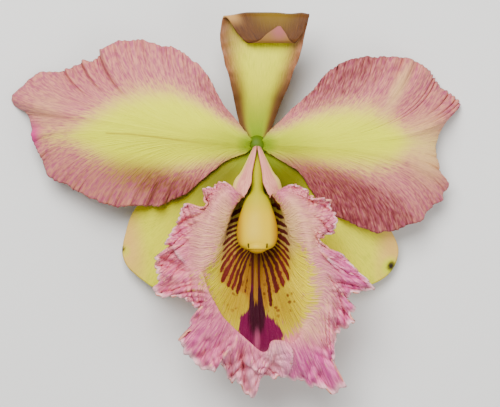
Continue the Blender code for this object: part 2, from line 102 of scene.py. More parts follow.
RIGHT_PETAL_EDGE = (
    (3.7, 4.0, 0.9), (7.4, 7.7, 0.5), (12.1, 12.4, 0.0), (19.2, 18.9, -1.5), (23.9, 24.7, -2.8),
    (28.4, 27.5, -4.0), (32.2, 29.3, -5.0), (36.6, 30.0, -6.0), (42.2, 30.1, -7.5), (47.7, 30.3, -9.0),
    (53.7, 29.1, -11.5), (56.6, 27.9, -13.0), (59.6, 25.3, -15.0), (63.7, 20.3, -17.8),
    (66.5, 18.6, -18.8), (69.4, 16.2, -19.4), (70.1, 14.5, -19.2), (68.2, 12.0, -18.0),
    (64.7, 8.1, -16.0), (62.2, 3.7, -14.0), (61.0, -0.6, -12.5), (61.6, -5.1, -11.8),
    (63.0, -9.5, -11.4), (65.5, -13.0, -11.2), (63.8, -16.0, -10.9), (63.4, -18.4, -10.3),
    (60.8, -19.8, -9.9), (57.4, -23.0, -9.2), (56.4, -25.2, -8.9), (52.0, -26.7, -8.0),
    (46.9, -28.6, -7.0), (40.7, -29.5, -6.0),
    (35.2, -27.6, -5.0), (29.9, -25.2, -4.2), (26.7, -24.2, -3.6), (22.9, -21.1, -2.8),
    (19.5, -17.1, -2.0), (17.2, -13.4, -1.4), (14.4, -9.2, -0.6), (10.4, -6.4, 0.0), (6.4, -4.2, 0.5),
    (4.0, -2.9, 0.9),
)
LEFT_SEPAL_EDGE = (
    (-5.2, -1.5, -1.5), (-10.1, -2.8, -2.3), (-17.9, -6.0, -4.3), (-26.4, -10.8, -7.0),
    (-34.7, -15.0, -9.6), (-39.9, -19.1, -11.6), (-43.2, -24.3, -13.2), (-45.2, -30.5, -14.8),
    (-46.1, -35.7, -16.0), (-45.7, -38.7, -15.6), (-44.3, -41.5, -14.8), (-42.0, -43.5, -14.0),
    (-39.0, -45.9, -13.0), (-35.6, -48.2, -12.0), (-31.1, -48.9, -11.0), (-24.5, -46.1, -9.5),
    (-17.7, -39.9, -8.0), (-11.2, -30.6, -6.0), (-6.4, -21.2, -4.0), (-3.4, -12.7, -2.4),
    (-2.0, -6.0, -1.4),
)
RIGHT_SEPAL_EDGE = (
    (5.0, -1.6, -1.6), (10.1, -3.0, -2.6), (17.9, -6.0, -4.4), (26.4, -11.0, -7.0),
    (35.1, -17.8, -9.6), (42.1, -24.2, -11.6), (46.3, -29.7, -13.2), (48.4, -34.9, -14.8),
    (48.0, -39.4, -16.0), (46.7, -42.2, -15.6), (44.8, -44.2, -14.8), (42.0, -46.1, -14.0),
    (38.8, -47.6, -13.0), (33.9, -48.2, -12.0), (27.4, -46.1, -10.4), (19.4, -40.2, -8.4),
    (12.2, -31.0, -6.2), (6.8, -21.2, -4.0), (3.7, -12.7, -2.4), (2.2, -6.0, -1.4),
)

# Each row is the middle (x, y, z) of the dorsal sepal and its half width there: up the sepal, over
# the fold at its top, down the flap, and back up to the curled tip.
DORSAL_ROWS = (
    (0.0, 2.6, -1.3, 3.6),
    (-0.2, 6.2, -0.9, 5.2),
    (-0.1, 9.0, -0.5, 6.1),
    (0.3, 14.4, 0.4, 7.6),
    (1.0, 20.4, 1.2, 9.6),
    (1.3, 26.1, 1.4, 11.1),
    (1.7, 32.1, 1.0, 13.0),
    (1.8, 37.9, -0.2, 14.2),
    (2.5, 42.1, -1.4, 14.6),
    (3.0, 44.2, -0.4, 14.5),
    (3.6, 43.3, 1.6, 13.9),
    (3.9, 40.3, 2.4, 12.4),
    (4.3, 37.2, 3.0, 10.8),
    (4.8, 34.3, 3.8, 8.2),
    (5.7, 34.6, 5.6, 5.4),
    (6.5, 36.9, 6.6, 2.9),
    (7.3, 39.2, 7.1, 0.5),
)
DORSAL_FOLD_BACK = 4.2
DORSAL_FLAT_FROM = 0.52

# The lip's tube: middle y, lean in y, middle z, half width, half height, half the slit's angle.
TUBE_RINGS = (
    (-2.2, 1.5, 3.4, 1.3, 2.0, 5.0),
    (-5.0, 0.6, 4.7, 2.8, 3.2, 14.0),
    (-9.4, 0.4, 6.6, 5.0, 4.5, 19.0),
    (-13.4, 0.5, 8.7, 7.5, 5.9, 15.5),
)
THROAT_RING = (
    (-4.3, -17.1, 14.9), (-5.9, -18.6, 15.2), (-8.6, -22.1, 14.5), (-10.2, -27.7, 13.0),
    (-11.2, -32.6, 11.5), (-10.3, -37.0, 10.0), (-6.3, -40.0, 9.0), (0.0, -41.0, 8.5),
    (6.2, -40.0, 9.0), (10.2, -37.0, 10.0), (11.1, -32.6, 11.5), (10.1, -27.7, 13.0),
    (8.8, -22.7, 14.5), (5.8, -18.6, 15.2), (4.2, -17.2, 14.9),
)

# The limb's rise from the throat, as pairs round it: (x, y, z) where it starts, and (x, y, z) of the
# top of its roll, which leans in over the throat at the lower left and in the frill.
LIMB_RISE = (
    (-5.2, -16.4, 17.0, -6.6, -15.6, 17.4),
    (-8.9, -16.1, 17.6, -9.8, -15.2, 17.0),
    (-12.2, -18.4, 17.8, -13.2, -17.0, 16.2),
    (-14.4, -22.7, 17.5, -16.2, -21.6, 15.4),
    (-16.2, -28.0, 16.6, -19.6, -27.2, 14.2),
    (-17.4, -34.0, 15.4, -22.0, -33.6, 13.2),
    (-17.6, -39.5, 14.0, -22.4, -39.4, 12.8),
    (-18.0, -43.4, 12.0, -18.4, -42.6, 14.2),
    (-17.8, -47.6, 10.4, -16.6, -47.2, 14.8),
    (-16.0, -52.8, 9.4, -14.5, -52.0, 14.6),
    (-13.0, -58.0, 8.8, -11.5, -57.2, 14.2),
    (-8.6, -62.4, 8.4, -7.4, -61.2, 13.8),
    (-4.0, -66.2, 8.0, -3.3, -64.9, 13.6),
    (0.6, -69.8, 7.8, 1.2, -68.6, 13.2),
    (3.4, -69.4, 7.8, 3.6, -68.0, 13.8),
    (5.6, -66.4, 8.0, 4.9, -65.0, 14.8),
    (9.2, -66.2, 8.4, 8.9, -65.0, 14.6),
    (12.0, -64.6, 9.0, 11.8, -65.8, 13.2),
    (13.4, -59.6, 10.0, 16.4, -62.6, 10.8),
    (14.8, -53.2, 11.8, 20.6, -55.0, 11.2),
    (16.6, -46.8, 13.4, 22.8, -47.2, 12.6),
    (17.2, -40.8, 15.0, 22.0, -40.6, 14.0),
    (16.8, -35.2, 16.4, 19.6, -35.2, 15.4),
    (15.6, -29.4, 17.4, 18.4, -30.0, 16.2),
    (13.8, -23.2, 18.0, 17.8, -23.8, 16.0),
    (11.0, -19.0, 17.9, 14.6, -18.6, 16.2),
    (7.6, -16.4, 17.6, 9.8, -15.8, 16.6),
    (4.8, -16.4, 17.0, 6.4, -15.5, 17.2),
)
LIP_EDGE = (
    (-7.8, -14.5, 17.2), (-10.2, -12.9, 16.2), (-12.2, -12.6, 14.5), (-13.7, -13.6, 13.5),
    (-14.2, -14.6, 13.0), (-16.8, -14.2, 12.5), (-17.8, -15.8, 12.0), (-17.6, -17.6, 12.4),
    (-16.6, -19.2, 12.8), (-17.4, -21.0, 12.4), (-20.1, -20.8, 11.4), (-21.8, -20.0, 10.8),
    (-23.4, -19.8, 10.4), (-25.3, -22.0, 9.5), (-26.2, -24.4, 9.2), (-27.1, -27.1, 9.0),
    (-29.6, -31.7, 9.0), (-30.0, -34.4, 8.6), (-32.8, -37.0, 8.0), (-33.3, -40.3, 8.5),
    (-33.0, -44.0, 8.0), (-32.6, -46.6, 7.4), (-34.7, -47.7, 7.0), (-31.5, -50.9, 8.0),
    (-28.1, -50.2, 9.0), (-24.0, -51.0, 10.2), (-20.4, -53.4, 10.6), (-18.6, -55.4, 10.8),
    (-20.6, -56.4, 10.0), (-22.3, -59.4, 9.0), (-21.6, -62.6, 8.4), (-24.0, -63.0, 7.6),
    (-25.8, -64.3, 6.6), (-25.2, -67.0, 5.5), (-23.2, -70.2, 5.5), (-21.4, -71.6, 5.5),
    (-19.8, -73.6, 5.0), (-17.3, -74.8, 5.0), (-13.8, -74.6, 6.0), (-12.0, -71.9, 7.6),
    (-11.2, -74.0, 6.6), (-10.0, -74.8, 6.0), (-8.7, -79.4, 5.0), (-7.0, -77.6, 6.0),
    (-5.3, -81.0, 5.0), (-3.4, -83.0, 4.4), (-2.0, -84.1, 4.0), (-0.2, -82.4, 4.8), (0.8, -78.8, 6.4),
    (3.2, -76.6, 7.0), (5.4, -77.6, 6.6), (7.3, -76.6, 6.0), (11.3, -77.8, 5.5), (15.3, -78.7, 5.0),
    (18.6, -80.8, 4.5), (22.7, -81.1, 4.0), (25.0, -83.5, 3.5), (27.0, -82.8, 4.0),
    (27.9, -81.2, 4.0), (29.9, -80.9, 4.0), (28.6, -78.8, 4.4), (27.0, -76.0, 5.0),
    (25.9, -73.8, 5.5), (25.5, -69.6, 6.5), (25.7, -65.9, 7.0), (26.6, -63.2, 7.0),
    (29.4, -60.4, 6.6), (31.9, -58.3, 6.0), (30.6, -56.6, 7.0), (33.0, -54.6, 6.5),
    (31.2, -53.6, 7.0), (30.0, -51.6, 7.5), (30.9, -49.4, 8.5), (34.5, -49.0, 7.0),
    (37.2, -48.8, 6.4), (38.4, -47.4, 6.0), (37.0, -45.2, 7.0), (35.4, -44.0, 8.0),
    (32.8, -41.4, 9.0), (30.0, -38.6, 10.0), (27.6, -36.2, 11.0), (24.6, -35.2, 12.0),
    (22.8, -33.6, 13.0), (20.9, -32.3, 13.8), (20.6, -31.0, 14.2), (22.2, -30.2, 14.0),
    (24.2, -29.9, 13.2), (25.6, -27.6, 12.6), (26.0, -25.0, 12.4), (25.4, -23.0, 12.6),
    (24.2, -21.6, 12.8), (23.6, -19.2, 12.9), (21.6, -18.1, 13.2), (19.0, -18.0, 13.6),
    (17.3, -16.9, 14.0), (16.2, -15.2, 14.4), (14.4, -14.1, 15.0), (11.8, -13.5, 15.8),
    (8.6, -14.4, 16.8),
)

# The middle that the lip's rings go round, the share that the angle has in their places (see
# edge_places), how the grid's lines lie along the veins, and the rings' places along them.
LIP_MIDDLE = (0.0, -32.0)
LIP_BY_ANGLE = 0.65
LIP_ROWS = ((0.0, 0.0), (0.08, 0.24), (0.38, 0.46), (0.62, 0.64), (0.8, 0.82), (1.0, 1.0))
RING_PLACES = (0.0, 0.08, 0.17, 0.27, 0.44, 0.62, 0.74, 1.0)

# Pleats of the left petal's edge: see pleats for a row's numbers.
LEFT_PETAL_PLEATS = (
    (-66.2, 26.0, 2.8, 2.8, 0.68),
    (-63.4, 27.2, 1.6, 1.0, 0.8),
    (-60.0, 28.8, 3.0, 3.2, 0.66),
    (-56.5, 29.0, 1.6, 1.0, 0.8),
    (-53.8, 31.4, 3.6, 3.0, 0.6),
    (-37.0, -20.4, 3.2, 1.5, 0.74),
)

# Crumples of the lip's limb: how many go round it, how far their crests slant, height and seed.
LIP_CRUMPLES = (
    (17.0, 0.16, 0.95, 31),
    (30.0, -0.14, 0.55, 33),
    (46.0, 0.22, 0.42, 34),
    (74.0, -0.24, 0.26, 36),
)

# Where the markings lie. Petals: x, and the lower and upper y of the green centre there. Lip: y, and
# the left and right x of the marking there.
LEFT_PETAL_CENTRE = (
    (-71.5, 2.9, 3.0), (-62.9, 0.6, 5.8), (-54.2, -4.6, 11.4), (-45.6, -9.5, 16.6),
    (-37.0, -10.9, 18.9), (-28.3, -9.0, 18.9), (-19.7, -7.3, 14.8), (-11.0, -4.9, 9.1),
    (-2.4, -3.3, 3.5),
)
LEFT_MIDRIB = ((0.2, (-50.5, 4.0), (-42.0, 3.6), (-30.0, 2.2), (-18.0, 0.6), (-8.0, 0.2)),)
RIGHT_PETAL_CENTRE = (
    (1.7, -3.3, 3.5), (9.0, -4.4, 5.8), (16.4, -5.7, 9.5), (23.7, -7.1, 12.2), (31.0, -7.9, 13.4),
    (38.4, -8.6, 12.9), (44.7, -7.4, 9.8), (51.1, -3.4, 5.2), (58.4, -0.5, 1.5), (66.0, 0.6, 0.8),
)
LIP_YELLOW = (
    (-66.5, -4.6, 7.6), (-59.7, -11.6, 14.6), (-55.0, -15.4, 18.0), (-50.2, -17.6, 19.2),
    (-45.4, -18.1, 19.2), (-40.6, -16.5, 18.6), (-35.9, -13.0, 16.6), (-31.1, -11.5, 12.7),
    (-26.3, -10.1, 10.6), (-21.6, -8.2, 8.8), (-16.8, -4.3, 5.2),
)
LIP_STRIPED = (
    (-53.0, -3.6, 5.0), (-50.0, -4.4, 5.6), (-47.6, -9.4, 8.6), (-45.4, -12.0, 10.4),
    (-43.0, -12.5, 11.3), (-37.6, -12.1, 11.1), (-34.1, -11.5, 11.1), (-30.6, -11.0, 10.7),
    (-27.2, -10.2, 10.0), (-23.7, -9.2, 9.1), (-20.3, -7.5, 7.8), (-16.8, -4.3, 4.9),
)
LIP_BLOTCH = (
    (-70.4, 0.6, 1.6), (-68.0, -2.3, 5.3), (-65.6, -4.7, 7.9), (-63.3, -5.9, 8.8),
    (-60.9, -6.2, 7.8), (-58.5, -6.0, 5.8), (-57.0, -5.6, 4.2), (-55.8, -4.2, 3.2),
    (-54.6, -3.0, 2.7), (-52.0, -2.3, 1.8), (-48.0, -1.8, 1.0),
)
CENTRE_LINES = (
    (0.5, (-1.5, -34.4), (-1.6, -50.0)),
    (0.5, (0.6, -34.4), (0.6, -44.0), (0.9, -50.0)),
)
BLOTCH_PRONGS = (
    (0.4, (-1.6, -46.6), (-1.8, -50.0)),
    (0.6, (-1.8, -50.0), (-2.1, -55.0)),
    (0.4, (0.8, -47.2), (1.0, -50.0)),
    (0.6, (1.0, -50.0), (1.6, -55.0)),
)

# Patches of colour, by mask: see patches for a row's numbers. The two lateral sepals share one table,
# because the patches of one don't reach the other.
LEFT_PETAL_PATCHES = {
    "base": ((-4.0, 0.6, 12.0, 6.0, 0.0, 0.9, 0.5), (-2.5, 0.2, 5.0, 4.0, 0.0, 0.9, 1.0)),
    # Deep: the petal's deeper pink, partly painted shade, darkest on the lower side.
    "deep": ((-27.0, -16.0, 17.0, 7.0, -18.0, 0.7, 0.52), (-14.0, 16.0, 14.0, 3.5, -46.0, 0.9, 0.5)),
    # Shade: olive painted shade below the green middle where the petal curves away; the outer patch is an
    # olive tone of the lower margin.
    "shade": ((-36.0, -12.0, 19.0, 5.0, -12.0, 0.9, 0.8), (-52.0, -14.0, 18.0, 7.0, -22.0, 0.9, 0.35)),
    "gold": ((-72.0, 11.0, 6.0, 6.0, 0.0, 0.9, 0.25),),
    "spot": ((-76.8, 3.4, 3.0, 4.6, 0.0, 0.9, 1.0),),
}
RIGHT_PETAL_PATCHES = {
    "base": ((4.0, 0.0, 12.0, 6.0, 0.0, 0.9, 0.5), (2.5, 0.2, 5.0, 4.0, 0.0, 0.9, 1.0)),
    # Deep: the petal's deeper pink, partly painted shade, darkest on the lower side.
    "deep": ((33.0, -20.0, 22.0, 8.5, -22.0, 0.6, 1.0), (28.0, 24.0, 20.0, 8.0, 24.0, 0.8, 0.8)),
    # Shade: olive painted shade below the green middle.
    "shade": ((22.0, -10.5, 15.0, 4.0, -24.0, 0.9, 0.65),),
    "gold": ((47.6, 18.8, 8.0, 1.9, 62.0, 1.0, 0.6), (58.5, -1.0, 7.0, 9.0, 0.0, 0.8, 0.7)),
}
LATERAL_PATCHES = {
    # Shade: painted shade, darker green where the petals overlie the lateral sepals near the join.
    "shade": ((-13.0, -11.0, 17.0, 8.0, 35.0, 0.9, 0.85), (9.0, -10.0, 15.0, 11.0, -40.0, 0.8, 0.95)),
    "base": ((0.0, 0.0, 9.0, 7.0, 0.0, 0.9, 0.9),),
    "blush": ((-45.5, -31.0, 5.5, 16.0, 12.0, 0.7, 0.8), (47.5, -33.0, 5.5, 14.0, -8.0, 0.7, 0.8)),
    "halo": ((-45.0, -36.0, 1.6, 1.8, 0.0, 0.6, 0.6), (45.2, -41.2, 2.4, 3.2, -30.0, 0.6, 1.0)),
    "spot": ((-45.9, -35.4, 0.8, 0.8, 0.0, 0.5, 1.0), (46.0, -41.0, 1.3, 1.7, -30.0, 0.5, 1.0)),
}
LIP_PATCHES = {
    # Rim: painted light, making the apron's lower frill paler where its steep fall lies in shade.
    "rim": ((-1.0, -77.5, 9.0, 6.0, 0.0, 0.8, 0.3),),
    # Ochre: painted shade, olive-brown in the middle of the throat.
    "ochre": ((-6.0, -51.0, 6.0, 8.0, 0.0, 0.8, 0.55), (7.0, -53.0, 7.0, 9.0, 0.0, 0.9, 0.55)),
    # Bright: painted light, lighter yellow on the throat's right wall, which faces away from the light.
    "bright": ((14.0, -42.0, 5.0, 16.0, 6.0, 0.8, 1.0),),
    # Centre: painted shadow below the column's end, between the middle stripes.
    "centre": ((-0.4, -42.0, 3.4, 9.0, 0.0, 0.7, 0.35),),
    # Glow: partly the limb's cream and partly painted light on the upper throat walls beside the column,
    # which lie in shade.
    "cream_and_painted_light": ((-10.6, -27.0, 2.6, 10.0, 0.0, 0.8, 0.6), (11.0, -27.0, 2.8, 8.0, 0.0, 0.8, 0.8)),
    "specks": ((7.5, -50.5, 7.5, 7.0, 0.0, 0.5, 0.8), (-6.5, -50.0, 4.0, 6.0, 0.0, 0.5, 0.7)),
    "dark": ((0.0, -55.0, 3.0, 9.0, 0.0, 0.6, 1.0),),
    "pale": ((0.0, -65.0, 0.8, 3.2, 0.0, 0.8, 0.6),),
    "rich": (
        (20.0, -74.0, 13.0, 9.0, 0.0, 0.6, 1.0),
        (28.0, -47.0, 9.0, 18.0, 0.0, 0.8, 0.9),
        (-18.0, -66.0, 12.0, 11.0, 0.0, 0.8, 0.5),
        (-1.0, -76.0, 9.0, 7.0, 0.0, 0.8, 0.4),
    ),
    "cream": (
        (14.5, -30.0, 6.5, 10.0, 0.0, 0.8, 0.85),
        (20.0, -50.0, 6.5, 11.0, 0.0, 0.8, 0.75),
        (-15.5, -33.0, 6.0, 13.0, 0.0, 0.8, 0.75),
        (16.0, -58.0, 8.5, 5.5, -40.0, 0.9, 0.9),
    ),
}

# The throat's stripes, from the middle outwards: the root of the parabola's size at each (see
# stripe_rank) and its share of dark, which widens the line.
STRIPE_FOCUS = -35.0
STRIPE_DROOP = 0.45
LEFT_STRIPES = (
    (0.29, 0.0), (0.72, 0.12), (1.2, 0.62), (1.53, 0.5), (1.85, 0.56), (2.3, 0.56), (2.75, 0.52),
    (3.05, 0.46), (3.35, 0.4), (3.7, 0.62), (4.15, 0.4), (4.55, 0.54), (5.0, 0.5), (5.6, 0.52),
    (6.2, 0.5),
)
RIGHT_STRIPES = (
    (0.23, 0.0), (0.76, 0.42), (1.25, 0.6), (1.75, 0.52), (2.2, 0.56), (2.6, 0.44), (2.9, 0.5),
    (3.2, 0.42), (3.6, 0.62), (4.2, 0.58), (4.8, 0.52), (5.4, 0.52), (5.95, 0.5),
)
STRIPE_SCALE = 20.0

# Folds of the lip's limb: (x, y) of both ends, the rise, the widths on the left and on the right of
# the way from the first end to the other, and how far the left side's crest leans over the right one.
LIP_FOLDS = (
    (-27.4, -33.7, -23.1, -39.6, 2.0, 2.6, 0.6, 1.1),
    (-23.1, -42.6, -31.7, -37.9, -1.6, 1.6, 1.0, 0.0),
    (-32.1, -41.4, -24.8, -44.9, 1.0, 1.6, 1.6, 0.0),
    (-30.1, -48.2, -25.1, -50.2, -0.9, 1.0, 1.0, 0.0),
    (-15.9, -16.8, -14.6, -25.7, -1.1, 1.0, 1.4, 0.0),
    (-23.5, -22.8, -16.9, -26.7, 0.9, 1.2, 1.6, 0.0),
    (-28.1, -29.0, -19.8, -31.0, 0.7, 1.2, 1.2, 0.0),
    (-26.1, -25.7, -18.9, -28.0, -0.6, 1.0, 1.0, 0.0),
    (-8.6, -67.4, -11.6, -72.4, 2.6, 1.7, 0.6, 1.3),
    (-4.7, -71.3, 1.6, -75.2, 1.6, 1.6, 0.8, 0.7),
    (-6.3, -68.6, -3.7, -75.2, -1.3, 1.2, 0.8, 0.0),
    (9.4, -76.4, 10.8, -66.4, 3.0, 4.5, 0.6, 1.9),
    (4.6, -70.2, 10.6, -68.4, -0.8, 0.5, 0.5, 0.0),
    (4.8, -71.2, 10.6, -71.0, -0.8, 0.5, 0.5, 0.0),
    (4.4, -72.4, 9.8, -74.0, -0.8, 0.5, 0.5, 0.0),
    (20.1, -33.7, 26.0, -40.3, 1.4, 1.6, 0.6, 0.8),
    (27.4, -40.3, 29.3, -46.5, 1.1, 1.4, 0.6, 0.0),
    (-22.2, -62.0, -14.2, -66.3, -0.8, 1.4, 1.4, 0.0),
    (-20.2, -68.6, -13.9, -71.9, 0.9, 1.4, 1.4, 0.0),
    (12.5, -20.5, 19.5, -21.5, -0.7, 1.0, 1.0, 0.0),
    (14.5, -25.0, 22.5, -26.0, 0.7, 1.2, 1.2, 0.0),
)

# The column: middle (y, z), half width and half thickness along it, from its root to its end.
COLUMN_ROWS = (
    (-1.0, 1.4, 0.6, 0.5),
    (-1.8, 2.6, 1.0, 1.0),
    (-3.2, 3.8, 1.2, 1.3),
    (-5.4, 5.0, 1.5, 1.6),
    (-8.4, 6.5, 2.0, 2.1),
    (-12.0, 8.3, 2.2, 2.5),
    (-15.2, 9.8, 2.2, 2.8),
    (-16.9, 10.6, 2.8, 3.2),
    (-18.2, 11.2, 4.0, 3.4),
    (-21.2, 12.7, 5.0, 3.6),
    (-24.0, 13.9, 5.9, 3.9),
    (-26.8, 15.0, 6.5, 3.9),
    (-29.4, 16.0, 6.7, 3.8),
    (-31.8, 16.9, 6.4, 3.4),
    (-33.6, 17.5, 5.4, 2.8),
    (-34.7, 17.9, 3.2, 1.6),
)

# The share of that thickness which the column has on its lower side; the cap's middle, half sizes and
# wall, the slits beside it, which are painted dark as shade, and the gap round it; the pollen masses' half
# sizes, the step from one to the next, and how far they lie inside the cap.
COLUMN_UNDER = 0.65
CAP_MIDDLE = (0.0, -34.0, 18.3)
CAP_SIZE = (3.1, 1.9, 2.3)
CAP_WALL = 0.6
COLUMN_SLIT_SHADES = ((0.25, (-2.9, -32.8), (-2.8, -33.9)), (0.25, (3.2, -32.8), (3.1, -33.9)))
SEAT_GAP = 0.3
POLLEN_SIZE = (0.38, 0.6, 0.75)
POLLEN_STEP = 1.02
POLLEN_SHIFT = 0.6

# The angles from the poles to the first rings and to the cap's rim, in radians, and how many rings,
# and points a ring, each tube has.
POLE_ANGLE = 0.04
CAP_RIM_ANGLE = 2.2
COLUMN_RINGS, COLUMN_SIDES = 200, 128
CAP_RINGS, CAP_SIDES = 24, 48
POLLEN_RINGS, POLLEN_SIDES = 20, 32
STALK_RINGS, STALK_SIDES = 180, 72

# The ovary and stalk: (y, z) and radius along it, from the neck in front to the cut end.
STALK_ROWS = (
    (0.0, 1.1, 3.2),
    (0.0, -1.0, 3.2),
    (0.0, -3.4, 3.2),
    (-1.0, -6.6, 3.0),
    (-4.2, -10.0, 3.0),
    (-9.0, -12.8, 3.2),
    (-15.5, -15.0, 3.3),
    (-23.0, -16.3, 3.1),
    (-30.0, -17.0, 2.6),
    (-38.0, -17.4, 2.25),
    (-50.0, -17.5, 2.2),
    (-62.0, -17.6, 2.4),
)

# Skins: the shine of all, the depth of the fine relief in metres, and the darkening of the petals' ribs,
# which is partly the veins' own colour and partly painted shade in their grooves.
SKIN_SHINE = 0.15
SKIN_RELIEF = 0.0003
RIB_SHADE_AND_TINT = (0.72, 0.62, 0.6, 1.0)

# The stage: each lamp's place and size in metres, and the picture's middle from the join point.
KEY_LAMP = ((-0.12, 0.34, 0.62), 0.45)
FILL_LAMP = ((0.5, -0.2, 0.45), 0.5)
PICTURE_MIDDLE = (-2.35, -19.63)


def screen_colour(red, green, blue):
    """A colour as a screen shows it, 0 to 255, in the linear values that shaders take."""
    shares = np.array([red, green, blue]) / 255.0
    linear = np.where(shares <= 0.04045, shares / 12.92, ((shares + 0.055) / 1.055) ** 2.4)
    return tuple(linear.tolist())


def shares_of_length(points):
    """Each point's share of the way along the straight lines from point to point."""
    steps = np.linalg.norm(np.diff(points, axis=0), axis=1)
    return np.concatenate([[0.0], np.cumsum(steps)]) / steps.sum()


def smooth_curve(points, stations, places=None):
    """Rows of numbers at the stations (0 to 1) of the smooth curve that passes every given row.

    Between two rows the curve is the cubic whose slopes at the rows are those of the chord between
    the rows' neighbours. Its parameter follows the straight distance between the rows, unless places
    gives each row its own value of it.
    """
    points = np.asarray(points, float)
    places = shares_of_length(points) if places is None else np.asarray(places, float)
    slopes = np.empty_like(points)
    slopes[1:-1] = (points[2:] - points[:-2]) / (places[2:] - places[:-2])[:, None]
    slopes[0] = (points[1] - points[0]) / (places[1] - places[0])
    slopes[-1] = (points[-1] - points[-2]) / (places[-1] - places[-2])
    stations = np.clip(stations, 0.0, 1.0)
    index = np.clip(np.searchsorted(places, stations, side="right") - 1, 0, len(places) - 2)
    width = (places[index + 1] - places[index])[:, None]
    t = (stations - places[index])[:, None] / width
    before, after = points[index], points[index + 1]
    return (
        (2 * t**3 - 3 * t**2 + 1) * before
        + (t**3 - 2 * t**2 + t) * width * slopes[index]
        + (3 * t**2 - 2 * t**3) * after
        + (t**3 - t**2) * width * slopes[index + 1]
    )


def edge_places(edge, middle, by_angle):
    """Each edge point's share of the way round, partly by its angle about the middle and for the rest
    by the edge's own length, so that a fold in the edge still moves forward."""
    edge = np.asarray(edge, float)
    angle = np.unwrap(np.arctan2(edge[:, 1] - middle[1], edge[:, 0] - middle[0]))
    turned = (angle - angle[0]) / (angle[-1] - angle[0])
    return by_angle * turned + (1.0 - by_angle) * shares_of_length(edge)


def ease(value, low, high):
    """0 below low, 1 above high, and the smooth step 3t^2 - 2t^3 between them."""
    t = np.clip((value - low) / (high - low), 0.0, 1.0)
    return t * t * (3.0 - 2.0 * t)


def between(value, rise_from, rise_to, fall_from, fall_to):
    """The smooth step up from 0 to 1 times the smooth step back down to 0."""
    return ease(value, rise_from, rise_to) * (1.0 - ease(value, fall_from, fall_to))


def bell(distance, width):
    """exp(-(distance/width)^2)."""
    return np.exp(-((distance / width) ** 2))


def waves(u, parts):
    """The sum of sine waves along an edge, each given as (height, count, shift)."""
    return sum(height * np.sin(2 * math.pi * (count * u + shift)) for height, count, shift in parts)


def natural_waves(u, count, seed):
    """Uneven waves of about unit height: eight sines whose counts spread round the given one, with
    seeded heights and shifts."""
    draw = np.random.default_rng(seed)
    counts = count * np.linspace(0.55, 1.45, 8)
    heights = draw.uniform(0.5, 1.0, 8)
    shifts = draw.uniform(0.0, 1.0, 8)
    return waves(u, zip(heights, counts, shifts)) / np.sqrt(np.sum(heights**2) / 2)


def largest(*masks):
    """The largest of the masks at each point."""
    return functools.reduce(np.maximum, masks)


def patches(points, *rows):
    """Mask of soft elliptical patches in the picture's plane: the largest of them at each point.

    A row is the middle's x and y, the two half sizes, the turn in degrees, the softness and the share.
    A patch is its share inside, and eases to 0 while the distance from its middle, counted in half
    sizes, goes from 1 - soft to 1 + soft.
    """
    found = []
    for middle_x, middle_y, wide, high, turn, soft, share in rows:
        x, y = points[..., 0] - middle_x, points[..., 1] - middle_y
        cosine, sine = math.cos(math.radians(turn)), math.sin(math.radians(turn))
        distance = np.hypot((x * cosine + y * sine) / wide, (y * cosine - x * sine) / high)
        found.append((1.0 - ease(distance, 1.0 - soft, 1.0 + soft)) * share)
    return largest(*found)


def patch_masks(points, table):
    return {name: patches(points, *rows) for name, rows in table.items()}


def span(along, across, rows, soft):
    """Mask of a strip of changing width: each row is (place along, low and high border across). The
    mask eases with the distance from the nearer border, between soft outside it and soft inside."""
    rows = np.asarray(rows, float)
    low = np.interp(along, rows[:, 0], rows[:, 1])
    high = np.interp(along, rows[:, 0], rows[:, 2])
    ends = np.minimum(along - rows[0, 0], rows[-1, 0] - along) + soft
    return ease(np.minimum(np.minimum(across - low, high - across), ends), -soft, soft)


def stations(grid):
    """The shares across and along a surface at the lines of its grid."""
    return np.linspace(0.0, 1.0, grid[0] + 1), np.linspace(0.0, 1.0, grid[1] + 1)


def fan_surface(foot_angles, foot_height, edge, by_angle, axis, bend, lift, ruffle, grid):
    """Blade of veins that leave the neck together, run along the axis and bend out to the edge.

    Each vein is the curve (1-v)^2 A + 2v(1-v) B + v^2 C: A on the arc round the neck, C on the edge,
    and B ahead of A by the bend of the way to C along the axis, smoothed from vein to vein. Towards
    both ends of the arc B moves halfway to C, so that the outer veins run straight. B is lifted by the
    lift times sin^2 of the way across. The ruffle raises the edge and fades inwards with v^3. Returns
    the points and, for each vein, the unit direction in which it meets the edge.
    """
    u, along = stations(grid)
    v = along[None, :, None]
    angle = np.radians(foot_angles[0] + (foot_angles[1] - foot_angles[0]) * u)
    start = np.stack(
        [FOOT_RADIUS * np.cos(angle), FOOT_RADIUS * np.sin(angle), np.full_like(angle, foot_height)],
        axis=-1,
    )
    end = smooth_curve(edge, u, edge_places(edge, (0.0, 0.0), by_angle))
    axis = np.array(axis, float) / np.linalg.norm(axis)
    reach = (end - start) @ axis
    kernel = np.hanning(grid[0] // 6)
    padded = np.pad(reach, len(kernel) // 2, mode="edge")
    smoothed = np.convolve(padded, kernel / kernel.sum(), mode="valid")[: len(u)]
    inner = ease(np.minimum(u, 1.0 - u), 0.0, STRAIGHT_SHARE)
    ahead = axis * ((reach + (smoothed - reach) * inner) * inner * bend)[:, None]
    middle = start + ahead + (end - start) * (0.5 * (1.0 - inner))[:, None]
    middle[:, 2] = start[:, 2] + lift * np.sin(math.pi * u) ** 2
    points = (1 - v) ** 2 * start[:, None] + 2 * v * (1 - v) * middle[:, None] + v**2 * end[:, None]
    points[:, :, 2] += waves(u, ruffle)[:, None] * along**3 * np.sin(math.pi * u)[:, None] ** 0.5
    outward = end - middle
    outward /= np.linalg.norm(outward, axis=1, keepdims=True)
    return points, outward


